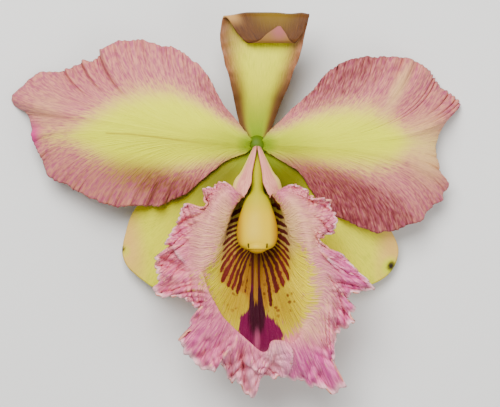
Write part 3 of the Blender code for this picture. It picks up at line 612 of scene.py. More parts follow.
def frill(points, outward, u, v, parts):
    """Adds fine waves to a blade's edge: each part is (rise, reach out, count, seed, power), and its
    waves fade inwards with v to that power and towards both ends of u."""
    ends = between(u, 0.02, 0.1, 0.9, 0.98)
    for rise, reach, count, seed, power in parts:
        up = rise * natural_waves(u, count, seed) * ends
        out = reach * natural_waves(u, count, seed + 50) * ends
        points[:, :, 2] += up[:, None] * v**power
        points += (out[:, None] * v**power)[..., None] * outward[:, None]
    return points


def off_floor(points):
    """Bends what would dip under the floor back up: where the height above the floor is under 1 mm,
    it becomes 0.4 + 0.6 exp((height - 1) / 0.6)."""
    height = points[..., 2] + JOIN_POINT[2] / MM
    bent = 0.4 + 0.6 * np.exp(np.minimum(height - 1.0, 0.0) / 0.6)
    points[..., 2] += np.where(height < 1.0, bent - height, 0.0)
    return points


def pleats(points, outward, u, v, rows):
    """Pinches the blade along veins: each row is (x, y) of the pleat's outer end, the width of its
    gentle side, its depth, and the v where it fades out. The surface sinks by depth times
    exp(-(distance/width)^2), with a steep other side, and the edge juts out beside the steep side.
    Returns the mask of the lines where it is deepest, which is painted as shade in the creases."""
    edge = points[:, -1, :2].copy()
    creases = 0.0
    for x, y, width, depth, start in rows:
        nearest = np.argmin(np.hypot(edge[:, 0] - x, edge[:, 1] - y))
        gap = np.linalg.norm(points[:, :, :2] - points[nearest : nearest + 1, :, :2], axis=-1)
        steep = (u < u[nearest])[:, None]
        fade = ease(v, start, 1.0)
        points[:, :, 2] -= depth * fade * bell(gap, np.where(steep, 0.45, width))
        tooth = steep * bell(gap - 0.8, 0.7) * fade**3
        points += (0.4 * depth * tooth)[..., None] * outward[:, None]
        line = bell(gap, np.where(steep, 0.4, 0.9)) * fade**0.5
        # The crease mask is painted shade along the deepest lines of the pleats.
        creases = np.maximum(creases, line * min(depth / 2.8, 1.0))
    return creases


def to_line(points, line):
    """Distance in the picture's plane from each point to the line between two (x, y), how far along
    it the nearest place is (0 to 1), and on which side of it the point lies (1 is the left)."""
    x0, y0, x1, y1 = line
    run = np.array([x1 - x0, y1 - y0])
    away = points[..., :2] - np.array([x0, y0])
    place = np.clip((away @ run) / (run @ run), 0.0, 1.0)
    gap = np.linalg.norm(away - place[..., None] * run, axis=-1)
    side = np.sign(run[0] * away[..., 1] - run[1] * away[..., 0])
    return gap, place, side


def lines_mask(points, rows, soft):
    """Mask of bands about broken lines: each row is half the band's width and the (x, y) it passes."""
    share = 0.0
    for half, *stops in rows:
        for first, second in zip(stops[:-1], stops[1:]):
            gap = to_line(points, (*first, *second))[0]
            share = np.maximum(share, 1.0 - ease(gap, half - soft, half + soft))
    return share


def fold(points, rows, share):
    """Raises ridges, and sinks creases, along lines: the rise times exp(-(distance/width)^2), with a
    width for each side of the line, tapered to both ends of it. The left side's crest leans over the
    right one. Returns the mask along the leaning crests' edges, where a highlight is painted."""
    crest_highlights = np.zeros(points.shape[:-1])
    for x0, y0, x1, y1, rise, left, right, lean in rows:
        gap, place, side = to_line(points, (x0, y0, x1, y1))
        taper = (0.35 + 0.65 * np.sin(math.pi * place)) * share
        points[..., 2] += rise * taper * bell(gap, np.where(side > 0, left, right))
        if lean:
            across = np.array([y1 - y0, x0 - x1]) / math.hypot(x1 - x0, y1 - y0)
            raised = ease(side * gap, -0.5, 0.3) * taper
            points[..., :2] += (lean * raised * bell(gap, 1.6))[..., None] * across
            crest_highlights = np.maximum(crest_highlights, raised * bell(gap, 0.6))
    return crest_highlights


def stripe_rank(points):
    """Which of its side's stripes runs through each point, as a number with its fraction, and the
    share of dark there.

    Stripes are parabolas that open downwards about one focus: the root of the distance to the focus
    plus the height above it is the same all along a stripe. Higher up they droop outwards.
    """
    x = np.abs(points[..., 0])
    height = points[..., 1] - STRIPE_FOCUS
    height = height + STRIPE_DROOP * np.clip((height - 5.0) / 10.0, 0.0, 1.2) * x
    size = np.sqrt(np.maximum(np.hypot(x, height) + height, 0.0))
    sides = []
    for rows in (LEFT_STRIPES, RIGHT_STRIPES):
        places, darks = zip((0.0, rows[0][1]), *rows)
        ranks = (-0.5, *range(len(rows)))
        sides.append((np.interp(size, places, ranks), np.interp(size, places, darks)))
    return [np.where(points[..., 0] > 0, right, left) for left, right in zip(*sides)]


def linked(name, data):
    """A new object that holds the data, linked to the scene."""
    made = bpy.data.objects.new(name, data)
    bpy.context.scene.collection.objects.link(made)
    return made


def add_mesh(name, points, faces, uv, masks, materials, face_material):
    """Makes the object: points in millimetres from the join point, one UV pair and one value of each
    mask for every point, and the material's number for every face."""
    mesh = bpy.data.meshes.new(name)
    mesh.from_pydata((np.asarray(points, float) * MM + JOIN_POINT).tolist(), [], faces)
    layer = mesh.uv_layers.new(name="veins")
    loops = np.empty(len(mesh.loops), np.int32)
    mesh.loops.foreach_get("vertex_index", loops)
    layer.data.foreach_set("uv", uv[loops].astype(np.float32).ravel())
    for mask, values in masks.items():
        attribute = mesh.attributes.new(mask, "FLOAT", "POINT")
        attribute.data.foreach_set("value", np.clip(values, 0.0, 1.0).astype(np.float32))
    for material in materials:
        mesh.materials.append(material)
    mesh.polygons.foreach_set("material_index", np.asarray(face_material, np.int32))
    mesh.shade_smooth()
    mesh.update()
    return linked(name, mesh)


def grid_uv(across, along):
    """The two parameters of a grid surface, from 0 to 1, as one UV pair a point."""
    u, v = np.meshgrid(np.linspace(0.0, 1.0, across), np.linspace(0.0, 1.0, along), indexing="ij")
    return np.stack([u, v], axis=-1).reshape(-1, 2)


def add_blade(name, points, thickness, masks, face, back):
    """Closed thin solid about a middle surface.

    Every point moves half the thickness both ways along the surface's normal, the unit cross product
    of the two slopes; a strip joins the two faces round the border. The face is the side that looks at
    the viewer and takes the face material; the other side and the strip take the back material.
    """
    normal = np.cross(np.gradient(points, axis=1), np.gradient(points, axis=0))
    normal /= np.maximum(np.linalg.norm(normal, axis=-1, keepdims=True), 1e-9)
    turned = normal[..., 2].sum() < 0
    if turned:
        normal = -normal
    across, along = points.shape[:2]
    half = (np.broadcast_to(thickness, (across, along)) / 2)[..., None]
    both = np.concatenate([(points + normal * half).reshape(-1, 3), (points - normal * half).reshape(-1, 3)])
    index = np.arange(across * along).reshape(across, along)
    corners = [index[:-1, :-1], index[:-1, 1:], index[1:, 1:], index[1:, :-1]]
    front = np.stack([corner.ravel() for corner in corners], axis=-1)
    loop = np.concatenate([index[:-1, 0], index[-1, :-1], index[:0:-1, -1], index[0, :0:-1]])
    following = np.roll(loop, -1)
    shift = across * along
    strip = np.stack([loop, following, following + shift, loop + shift], axis=-1)
    faces = np.concatenate([front, front[:, ::-1] + shift, strip])
    if turned:
        faces = faces[:, ::-1]
    numbers = np.repeat([0, 1], [len(front), len(front) + len(strip)])
    uv = np.concatenate([grid_uv(across, along)] * 2)
    doubled = {key: np.tile(np.broadcast_to(mask, index.shape).ravel(), 2) for key, mask in masks.items()}
    return add_mesh(name, both, faces.tolist(), uv, doubled, (face, back), numbers)


def add_tube(name, rings, masks, material):
    """Closed solid through rings of points, one after another, with a pole at each end."""
    count, sides = rings.shape[:2]
    points = np.concatenate([rings.reshape(-1, 3), [rings[0].mean(axis=0)], [rings[-1].mean(axis=0)]])
    index = np.arange(count * sides).reshape(count, sides)
    beside = np.roll(index, -1, axis=1)
    wall = np.stack([index[:-1], beside[:-1], beside[1:], index[1:]], axis=-1).reshape(-1, 4)
    first, last = count * sides, count * sides + 1
    near = np.stack([np.full(sides, first), beside[0], index[0]], axis=-1)
    far = np.stack([np.full(sides, last), index[-1], beside[-1]], axis=-1)
    faces = wall.tolist() + near.tolist() + far.tolist()
    uv = grid_uv(count, sides)[:, ::-1]
    uv = np.concatenate([uv, [[0.5, 0.0], [0.5, 1.0]]])
    ended = {}
    for key, mask in masks.items():
        mask = np.broadcast_to(mask, index.shape)
        ended[key] = np.concatenate([mask.ravel(), [mask[0].mean()], [mask[-1].mean()]])
    return add_mesh(name, points, faces, uv, ended, (material,), [0] * len(faces))


def path_rings(rows, sides, under=1.0):
    """Rings square to a path in the plane x = 0. Each row is (y, z, half width, half thickness), and
    under scales the thickness of the ring's lower half."""
    rows = np.asarray(rows, float)
    angle = np.linspace(0.0, 2 * math.pi, sides, endpoint=False)
    ahead = np.gradient(rows[:, :2], axis=0)
    ahead /= np.linalg.norm(ahead, axis=1, keepdims=True)
    rise = np.where(np.sin(angle) < 0, under, 1.0) * np.sin(angle)
    x = rows[:, 2:3] * np.cos(angle)
    y = rows[:, 0:1] + ahead[:, 1:2] * rows[:, 3:4] * rise
    z = rows[:, 1:2] - ahead[:, 0:1] * rows[:, 3:4] * rise
    return np.stack([x, y, z], axis=-1)


def ellipsoid_rings(middle, size, sides, rises):
    """Rings of points over an ellipsoid, from its pole on the Y axis on, at the given angles to it."""
    turn = np.linspace(0.0, 2 * math.pi, sides, endpoint=False)
    rise = rises[:, None]
    x = size[0] * np.sin(rise) * np.cos(turn)
    y = -size[1] * np.cos(rise) + 0 * turn
    z = -size[2] * np.sin(rise) * np.sin(turn)
    return np.stack([x, y, z], axis=-1) + middle


class Value:
    """A shader socket that adds, subtracts and multiplies as a number does, with Math nodes."""

    def __init__(self, socket):
        self.socket = socket
        self.tree = socket.id_data

    def __add__(self, other):
        return self.calc("ADD", other)

    def __sub__(self, other):
        return self.calc("SUBTRACT", other)

    def __rsub__(self, other):
        return add_node(self.tree, "Math", {0: other, 1: self}, operation="SUBTRACT")

    def __mul__(self, other):
        return self.calc("MULTIPLY", other)

    def calc(self, operation, *others):
        return add_node(self.tree, "Math", dict(enumerate((self, *others))), operation=operation)

    def scaled(self, factor, shift):
        """The value times the factor, plus the shift."""
        return self.calc("MULTIPLY_ADD", factor, shift)

    def eased(self, low, high):
        """The value's smooth step between low and high."""
        inputs = {"Value": self, "From Min": low, "From Max": high}
        return add_node(self.tree, "MapRange", inputs, interpolation_type="SMOOTHSTEP")


def feed(socket, value):
    """Links an input from a Value, or sets it to a number or a colour."""
    if isinstance(value, Value):
        socket.id_data.links.new(value.socket, socket)
    else:
        socket.default_value = value


def add_node(tree, kind, inputs, output=0, **settings):
    """Adds a shader node with the settings, feeds its inputs and returns one output as a Value."""
    made = tree.nodes.new(f"ShaderNode{kind}")
    for key, value in settings.items():
        setattr(made, key, value)
    for key, value in inputs.items():
        feed(made.inputs[key], value)
    return Value(made.outputs[output])


def object_place(tree):
    return add_node(tree, "TexCoord", {}, "Object")


def new_group(name, inputs, output):
    """Empty shader node group with the named inputs and one float output: the tree, its inputs as
    Values, and the socket that takes what it gives."""
    tree = bpy.data.node_groups.new(name, "ShaderNodeTree")
    for label, kind in inputs.items():
        tree.interface.new_socket(label, in_out="INPUT", socket_type=f"NodeSocket{kind}")
    tree.interface.new_socket(output, in_out="OUTPUT", socket_type="NodeSocketFloat")
    start = tree.nodes.new("NodeGroupInput")
    end = tree.nodes.new("NodeGroupOutput")
    return tree, {label: Value(start.outputs[label]) for label in inputs}, end.inputs[output]


def vein_mottle_group():
    """Noise stretched along the veins, about 0.5 on average; finer in the outer half."""
    inputs = {"Veins": "Vector", "Inner count": "Float", "Outer count": "Float", "Steps": "Float"}
    tree, given, wanted = new_group("vein mottle", inputs, "Streaks")
    u = add_node(tree, "SeparateXYZ", {0: given["Veins"]}, "X")
    v = add_node(tree, "SeparateXYZ", {0: given["Veins"]}, "Y")
    streaks = []
    for count in ("Inner count", "Outer count"):
        spot = add_node(tree, "CombineXYZ", {0: u * given[count], 1: v * given["Steps"]})
        inputs = {"Vector": spot, "Scale": 1.0, "Detail": 2.0, "Roughness": 0.5, "Distortion": 0.4}
        streaks.append(add_node(tree, "TexNoise", inputs))
    outer = v.eased(0.5, 0.75)
    feed(wanted, streaks[0] * (1.0 - outer) + streaks[1] * outer)
    return tree


def skin_group():
    """Height of a petal's skin: fine grains, and furrows where the streaks and the ribs are."""
    tree, given, wanted = new_group("petal skin", {"Streaks": "Float", "Ribs": "Float"}, "Height")
    grain = add_node(tree, "TexNoise", {"Vector": object_place(tree), "Scale": 2600.0, "Detail": 1.0})
    feed(wanted, given["Ribs"].scaled(-3.6, given["Streaks"].scaled(-1.4, grain * 0.6)))
    return tree


class Skin:
    """A material whose shader gets a colour that is laid on in layers. A colour is a Value or the
    name of one of the bloom's colours, and a share of it is a Value or the name of a mask. The
    shader's inputs stand under inputs."""

    def __init__(self, name, colours, roughness):
        self.material = bpy.data.materials.new(name)
        self.material.use_nodes = True
        self.tree = self.material.node_tree
        self.inputs = self.tree.nodes["Principled BSDF"].inputs
        self.inputs["Roughness"].default_value = roughness
        self.inputs["Specular IOR Level"].default_value = SKIN_SHINE
        self.colours = colours

    def mask(self, name):
        return add_node(self.tree, "Attribute", {}, "Fac", attribute_name=name)

    def noise(self, scale, detail):
        """Noise about 0, by the place on the object."""
        inputs = {"Vector": object_place(self.tree), "Scale": scale, "Detail": detail}
        return add_node(self.tree, "TexNoise", inputs) - 0.5

    def streaks(self, inner, outer, steps):
        """The vein mottle with that many streaks side by side and that many steps along them."""
        veins = add_node(self.tree, "UVMap", {}, uv_map="veins")
        inputs = {"Veins": veins, "Inner count": inner, "Outer count": outer, "Steps": steps}
        group = bpy.data.node_groups.get("vein mottle") or vein_mottle_group()
        return add_node(self.tree, "Group", inputs, node_tree=group)

    def paint(self, colour):
        return (*getattr(self.colours, colour), 1.0) if isinstance(colour, str) else colour

    def mix(self, share, first, second, blend="MIX"):
        share = self.mask(share) if isinstance(share, str) else share
        inputs = {0: share, 6: self.paint(first), 7: self.paint(second)}
        return add_node(self.tree, "Mix", inputs, 2, data_type="RGBA", blend_type=blend)

    def layers(self, colour, *layers):
        """The colour with each layer, a share and a colour, over the one before."""
        for share, paint in layers:
            colour = self.mix(share, colour, paint)
        return colour

    def finish(self, colour, streaks=None, strength=0.0, ribs=0.5):
        """Gives the shader its colour and, with streaks, the skin's fine relief, which follows the
        streaks and the ribs. Returns the material."""
        feed(self.inputs["Base Color"], self.paint(colour))
        if streaks:
            group = bpy.data.node_groups.get("petal skin") or skin_group()
            height = add_node(self.tree, "Group", {"Streaks": streaks, "Ribs": ribs}, node_tree=group)
            inputs = {"Height": height, "Strength": strength, "Distance": SKIN_RELIEF}
            feed(self.inputs["Normal"], add_node(self.tree, "Bump", inputs))
        return self.material


def petal_material(colours):
    """Green centre that pales into pink, with deeper pink dashes along the veins that grow denser
    with the pink mask, a deep zone near the lower side that is partly painted shade, olive painted shade
    below the middle, painted shade in the pleats' creases and a magenta tip spot."""
    skin = Skin("petal skin", colours, 0.55)
    streaks = skin.streaks(150.0, 250.0, 20.0)
    long_streaks = skin.streaks(160.0, 260.0, 15.0)
    ribs = skin.streaks(130.0, 250.0, 2.5)
    pink, deep = skin.mask("pink"), skin.mask("deep")
    dashes = (streaks + pink.scaled(0.16, -0.1)).eased(0.4, 0.74) * pink.eased(0.1, 0.7)
    # The deep zone: deeper pink streaks, partly painted shade on the lower side.
    dark = (long_streaks + deep.scaled(0.36, -0.2)).eased(0.2, 0.88) * deep.eased(0.02, 0.5)
    colour = skin.layers(
        "petal_green",
        (pink.eased(0.0, 0.55), "petal_cream"),
        ((streaks - 0.5).scaled(0.6, pink).eased(0.25, 0.85), "petal_pale"),
        # Olive painted shade below the middle, with the left petal's midrib line.
        ("shade", "petal_shade"),
        (dashes, "petal_pink"),
        (dark, "petal_deep_pink_and_shade"),
    )
    # Darker along the ribs: partly the veins' own colour and partly painted shade in their grooves.
    colour = skin.mix(ribs.eased(0.42, 0.66) * pink.scaled(0.4, 0.06), colour, RIB_SHADE_AND_TINT, "MULTIPLY")
    colour = skin.layers(
        colour,
        # Painted shade in the pleats' creases.
        (skin.mask("crease") * 0.65, "petal_deep_pink_and_shade"),
        ("gold", "petal_gold"),
        ("spot", "petal_spot"),
        ("base", "claw_green"),
    )
    return skin.finish(colour, streaks, 0.5, ribs)


def sepal_material(colours):
    """Yellow-green with tan sides, dark green painted shade near the join, and a brown tip spot in a bright
    halo where the masks say.
    """
    skin = Skin("sepal skin", colours, 0.5)
    streaks = skin.streaks(120.0, 180.0, 20.0)
    colour = skin.layers(
        "sepal_green",
        (streaks.eased(0.4, 0.7) * 0.25, "claw_green"),
        ("shade", "sepal_shade"),
        # Painted shade: darker green near the join.
        ("blush", "sepal_blush"),
        ("side", skin.layers("sepal_tan", (streaks.eased(0.35, 0.65) * 0.6, "sepal_brown_and_shade"))),
        ("brown", "sepal_brown_and_shade"),
        ("rose", "petal_pink"),
        ("base", "claw_green"),
        ("halo", "halo"),
        ("spot", "spot_brown_and_slit_shade"),
    )
    return skin.finish(colour, streaks, 0.3)


def flap_material(colours):
    """The dorsal sepal's outer side: brown-orange with green along the middle and a pink rim."""
    skin = Skin("sepal outer skin", colours, 0.5)
    streaks = skin.streaks(90.0, 110.0, 14.0)
    brown = skin.layers("flap_orange", (streaks.eased(0.35, 0.65), "flap_brown"))
    colour = skin.layers(brown, ("flap_green", "flap_olive"), ("rim", "sepal_blush"))
    return skin.finish(colour, streaks, 0.3)


def lip_face_material(colours):
    """Pink limb with paler cream between its veins, a yellow throat with maroon stripes along the
    veins, and a purple blotch where the masks say. Painted shade in ochre lies between the stripes, in the
    middle of the throat and below the column's end; painted light lies on the upper throat walls and the
    right wall; the pale rim is partly painted highlight."""
    skin = Skin("lip inner skin", colours, 0.5)
    mask = skin.mask
    streaks = skin.streaks(220.0, 330.0, 20.0)
    broad = skin.streaks(110.0, 180.0, 10.0)
    ribs = skin.streaks(240.0, 400.0, 4.0)
    wander, broken, uneven = skin.noise(260.0, 2.0), skin.noise(700.0, 1.0), streaks - 0.5
    lines = ribs.scaled(0.55, broad.scaled(0.12, streaks * 0.33)).eased(0.33, 0.6)
    pink = skin.layers(
        "lip_pale",
        (lines, "lip_pink"),
        ("rich", skin.layers("lip_rose", (lines, "magenta"))),
        (mask("cream") * lines.scaled(-0.6, 1.0), "lip_cream"),
    )
    # Bright is painted light on the throat's right wall.
    yellow = skin.layers("lip_yellow", ("bright", "lip_painted_light"), (lines * 0.16, "lip_ochre_and_shade"))
    yellowness = wander.scaled(0.5, uneven.scaled(-1.8, mask("yellow"))).eased(0.2, 0.8)
    turns = wander.scaled(0.5, mask("rank") * STRIPE_SCALE)
    level = broken.scaled(2.2, mask("share").scaled(3.4, -1.35))
    level = (mask("stripes") - 1.0).scaled(2.4, level)
    stripe = ((turns * (2 * math.pi)).calc("COSINE") + level).eased(-0.4, 0.45)
    cells = add_node(skin.tree, "TexVoronoi", {"Vector": object_place(skin.tree), "Scale": 460.0})
    dots = 1.0 - broken.scaled(0.5, cells).eased(0.16, 0.36)
    stripe = stripe.calc("MAXIMUM", mask("centre")).calc("MAXIMUM", dots * mask("specks"))
    darkness = uneven.scaled(0.8, mask("dark")).eased(0.2, 0.8)
    colour = skin.layers(
        pink,
        (yellowness, yellow),
        # Glow: partly cream and partly painted light on the upper throat walls.
        ("cream_and_painted_light", "lip_cream"),
        # Ochre: painted shade between the stripes and in the middle of the throat.
        ("ochre", "lip_ochre_and_shade"),
        (stripe, skin.layers("lip_maroon", ("flare", "lip_red"))),
        (
            uneven.scaled(1.8, mask("purple")).eased(0.25, 0.7),
            skin.layers("lip_purple", (darkness, "lip_dark"), ("pale", "lip_pink")),
        ),
        # The rim: a pale margin that is partly painted highlight, with painted highlight on the fold crests
        # and painted light on the apron.
        ("rim", "lip_rim_and_highlight"),
    )
    return skin.finish(colour, streaks, 0.8, ribs)


def lip_back_material(colours):
    """The tube's and limb's outer side: pale pink with a cream band along the tube's two flanks."""
    skin = Skin("lip outer skin", colours, 0.5)
    streaks = skin.streaks(150.0, 260.0, 20.0)
    colour = skin.layers("tube_pale", (streaks.eased(0.4, 0.65), "tube_pink"), ("flank", "tube_cream"))
    return skin.finish(colour, streaks, 0.4)


def column_material(colours):
    """Waxy cream, yellow along its narrow part, green at the root, painted shade in ochre at the flanks and
    painted shade in the slits beside the cap.
    """
    skin = Skin("column wax", colours, 0.42)
    return skin.finish(
        skin.layers(
            "column_cream",
            ("narrow", "column_yellow"),
            # Painted shade at the flanks and in the slits.
            ("flank", "column_flank_shade"),
            ("root", "column_green"),
            ("slit", "spot_brown_and_slit_shade"),
        )
    )


def stalk_material(colours):
    """Green skin, with long faint streaks, and a pale cut end."""
    skin = Skin("stalk skin", colours, 0.5)
    streaks = skin.streaks(40.0, 40.0, 9.0)
    green = skin.layers("stalk_green", (streaks.eased(0.35, 0.65), "stalk_dark"))
    return skin.finish(skin.layers(green, ("neck", "column_green"), ("cut", "cut_green")))


def length(name, description, default):
    return FloatProperty(name=name, description=description, default=default, unit="LENGTH")


def power(name, description, default):
    return FloatProperty(name=name, description=description, default=default, unit="POWER")


def colour(name, description, red, green, blue):
    """A colour property whose default is given as a screen shows it."""
    default = screen_colour(red, green, blue)
    return FloatVectorProperty(
        name=name, description=description, default=default, subtype="COLOR", min=0.0, max=1.0
    )


class BloomSizes(PropertyGroup):
    """Thicknesses and edge waves of the bloom's blades."""

    petal_edge: length("Petal edge", "Thickness at a petal's edge", 0.0006)
    petal_claw: length("Petal claw", "Thickness where a petal starts", 0.0012)
    sepal_edge: length("Sepal edge", "Thickness at a sepal's edge", 0.0007)
    lip_edge: length("Lip edge", "Thickness at the lip's edge", 0.0006)
    lip_tube: length("Lip tube", "Thickness of the lip's tube", 0.0009)
    petal_frill: length("Petal frill", "Height of the fine waves at a petal's edge", 0.0005)
    lip_frill: length("Lip frill", "Height of the waves at the lip's edge", 0.0013)


class BloomColours(PropertyGroup):
    """Colours of the bloom's skins."""

    petal_green: colour("Petal centre", "Yellow-green middle", 218, 221, 4)
    claw_green: colour("Claw", "Green near the join", 124, 148, 0)
    petal_cream: colour("Petal cream", "Between the green and the pink", 222, 192, 90)
    petal_pale: colour("Petal pale pink", "Pink between the dashes", 207, 132, 114)
    petal_pink: colour("Petal pink", "Dashes along the veins", 172, 84, 106)
    # Deeper pink, also used for painted shade on the lower sides and in the pleats' creases.
    petal_deep_pink_and_shade: colour("Petal deep pink", "Streaks near the lower sides", 108, 36, 44)
    # Painted shade below the middle, which also colours the left petal's midrib line.
    petal_shade: colour("Petal shade", "Olive brown below the middle", 138, 96, 30)
    petal_spot: colour("Petal tip spot", "Magenta spot at the tip", 202, 54, 126)
    petal_gold: colour("Petal gold", "Pale streak in the pink", 230, 192, 116)
    magenta: colour("Magenta", "Richest pink of the lip", 192, 68, 134)
    sepal_green: colour("Sepal centre", "Yellow-green middle", 218, 214, 30)
    sepal_tan: colour("Sepal side", "Tan side of a sepal", 166, 108, 74)
    # Painted shade where the petals overlie the lateral sepals, and at the dorsal sepal's base and sides.
    sepal_shade: colour("Sepal base", "Dark green near the join", 84, 84, 2)
    sepal_blush: colour("Sepal blush", "Pale pink side of a sepal", 228, 172, 96)
    # Brown streaks, also painted shade at the dorsal sepal's sides near its base.
    sepal_brown_and_shade: colour("Sepal streak", "Brown-pink streaks", 88, 54, 22)
    halo: colour("Halo", "Bright ring round the tip spot", 206, 208, 20)
    # Dark tip spot, and painted shade in the column's slits.
    spot_brown_and_slit_shade: colour("Tip spot", "Dark spot at a sepal's tip", 34, 18, 8)
    flap_orange: colour("Flap", "Outer side of the folded tip", 94, 55, 14)
    flap_brown: colour("Flap streak", "Streaks on the folded tip", 72, 38, 13)
    flap_olive: colour("Flap middle", "Middle of the folded tip", 112, 84, 6)
    lip_pale: colour("Lip pale pink", "Pink between the veins", 248, 150, 148)
    lip_pink: colour("Lip pink", "Veins of the limb", 198, 92, 130)
    lip_rose: colour("Lip rose", "Rich pink between the veins", 242, 132, 174)
    lip_cream: colour("Lip cream", "Cream between pink and yellow", 238, 192, 128)
    lip_yellow: colour("Throat yellow", "Yellow of the throat", 198, 186, 0)
    # Painted light on the throat's right wall.
    lip_painted_light: colour("Throat light", "Lightest yellow of the throat", 232, 210, 10)
    # Pale rim, partly painted highlight; also the colour of the painted highlight on the fold crests and of
    # the painted light on the apron.
    lip_rim_and_highlight: colour("Lip rim", "Pale rim of the lip", 250, 204, 204)
    # Painted shade between the stripes and in the middle of the throat; also a faint tint along the throat's
    # veins.
    lip_ochre_and_shade: colour("Throat ochre", "Shade between the stripes", 150, 88, 14)
    lip_maroon: colour("Throat stripe", "Maroon stripes", 76, 18, 10)
    lip_red: colour("Stripe end", "Redder outer ends of the stripes", 100, 24, 14)
    lip_purple: colour("Blotch", "Purple blotch", 104, 2, 56)
    lip_dark: colour("Blotch dark", "Darkest purple", 50, 0, 20)
    tube_cream: colour("Tube band", "Cream along the tube's sides", 236, 204, 110)
    tube_pale: colour("Tube", "Outer side of the tube", 228, 152, 130)
    tube_pink: colour("Tube streak", "Streaks on the tube", 204, 122, 114)
    column_cream: colour("Column", "Waxy cream of the column", 204, 170, 0)
    column_yellow: colour("Column strip", "Yellow of its narrow part", 170, 162, 0)
    # Painted shade at the column's flanks.
    column_flank_shade: colour("Column flank", "Ochre at the column's flanks", 168, 122, 2)
    anther: colour("Anther cap", "Lid on the column's end", 182, 138, 4)
    column_green: colour("Join green", "Green at the join", 76, 100, 0)
    stalk_green: colour("Stalk", "Green of the ovary and stalk", 118, 142, 40)
    stalk_dark: colour("Stalk streak", "Darker streaks", 84, 108, 26)
    cut_green: colour("Cut end", "Pale face of the cut stalk", 190, 198, 120)
    pollen: colour("Pollen", "Waxy pollen masses", 226, 180, 30)
    floor: colour("Floor", "Pale floor", 226, 225, 222)


class BloomStage(PropertyGroup):
    """Camera distance and light of the stage."""

    distance: length("Camera distance", "From the join point to the camera", 0.6)
    picture_width: length("Picture width", "Width seen at the join point", 0.1678)
    key_power: power("Key light", "Power of the large lamp", 10.0)
    fill_power: power("Fill light", "Power of the side lamp", 2.5)
    sky: FloatProperty(name="Sky", description="Strength of the even light", default=0.4)


def blade_thickness(u, v, edge, claw):
    """Thickness over a blade: the claw's, easing to the edge's at three quarters of the way out and
    towards both sides, with a midrib that keeps half of the difference."""
    rib = bell(u[:, None] - 0.5, 0.06) * (1.0 - v) * 0.5
    body = np.clip(np.clip(1.0 - v / 0.75, 0.0, 1.0) + rib, 0.0, 1.0)
    body = body * np.clip(np.sin(math.pi * u) * 5.0, 0.0, 1.0)[:, None]
    return (edge + (claw - edge) * body) / MM


def seat(obj, node):
    """Fixes a piece to the frame in place of its node."""
    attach(obj, "root")
    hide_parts(node)


class BLOOM_OT_petals(Operator):
    """Build the two petals with their waved edges, pleats and pink streaks"""

    bl_idname = "bloom.petals"
    bl_label = "Build petals"

    def execute(self, context):
        sizes = context.scene.bloom_sizes
        material = petal_material(context.scene.bloom_colours)
        self.left(sizes, material)
        self.right(sizes, material)
        return {"FINISHED"}

    def left(self, sizes, material):
        u, v = stations(PETAL_GRID)
        ruffle = ((0.9, 3.0, 0.1), (0.7, 6.5, 0.6))
        points, outward = self.surface(
            (136.0, 216.0), LEFT_PETAL_EDGE, (-1.0, 0.14, 0.0), ruffle, 0.12, 3, sizes
        )
        creases = pleats(points, outward, u, v, LEFT_PETAL_PLEATS)
        points = off_floor(points)
        midrib = lines_mask(points, LEFT_MIDRIB, 0.3) * 0.6 * ease(-points[..., 0], 12.0, 30.0)
        masks = patch_masks(points, LEFT_PETAL_PATCHES)
        # The midrib line joins the mask of the olive painted shade below the middle.
        masks["shade"] = largest(masks["shade"], midrib)
        # Painted shade in the pleats' creases.
        masks["crease"] = creases
        self.build("left", points, LEFT_PETAL_CENTRE, masks, sizes, material)

    def right(self, sizes, material):
        u, v = stations(PETAL_GRID)
        ruffle = ((0.9, 3.5, 0.4), (0.7, 7.0, 0.2))
        points, outward = self.surface(
            (44.0, -36.0), RIGHT_PETAL_EDGE, (1.0, -0.02, 0.0), ruffle, 0.09, 7, sizes
        )
        ribs = 0.7 * np.sin(2 * math.pi * 105.0 * u) + 0.45 * natural_waves(u, 90.0, 9)
        comb = (between(u, 0.31, 0.35, 0.45, 0.48) * ribs)[:, None]
        points[:, :, 2] += 0.9 * comb * v**5
        points += (0.5 * comb * v**14)[..., None] * outward[:, None]
        points = off_floor(points)
        masks = patch_masks(points, RIGHT_PETAL_PATCHES)
        self.build("right", points, RIGHT_PETAL_CENTRE, masks, sizes, material)

    def surface(self, foot_angles, edge, axis, ruffle, reach, seed, sizes):
        """The fan with its large waves and the fine ones of its edge, and the veins' directions there."""
        points, outward = fan_surface(
            foot_angles, PETAL_FOOT, edge, 0.2, axis, 0.82, 6.0, ruffle, PETAL_GRID
        )
        rise = sizes.petal_frill / MM
        fine = ((rise, 0.15, 26.0, seed, 7.0), (rise * 0.6, reach, 85.0, seed + 1, 12.0))
        return frill(points, outward, *stations(PETAL_GRID), fine), outward

    def build(self, side, points, centre, masks, sizes, material):
        """The blade; its change from green to pink is narrow near the join and wide further out."""
        soft = np.interp(np.abs(points[..., 0]), (8.0, 38.0), (4.0, 10.5))
        masks["pink"] = 1.0 - span(points[..., 0], points[..., 1], centre, soft)
        thickness = blade_thickness(*stations(PETAL_GRID), sizes.petal_edge, sizes.petal_claw)
        made = add_blade(f"{side}_petal", points, thickness, masks, material, material)
        seat(made, f"petal_{side}")


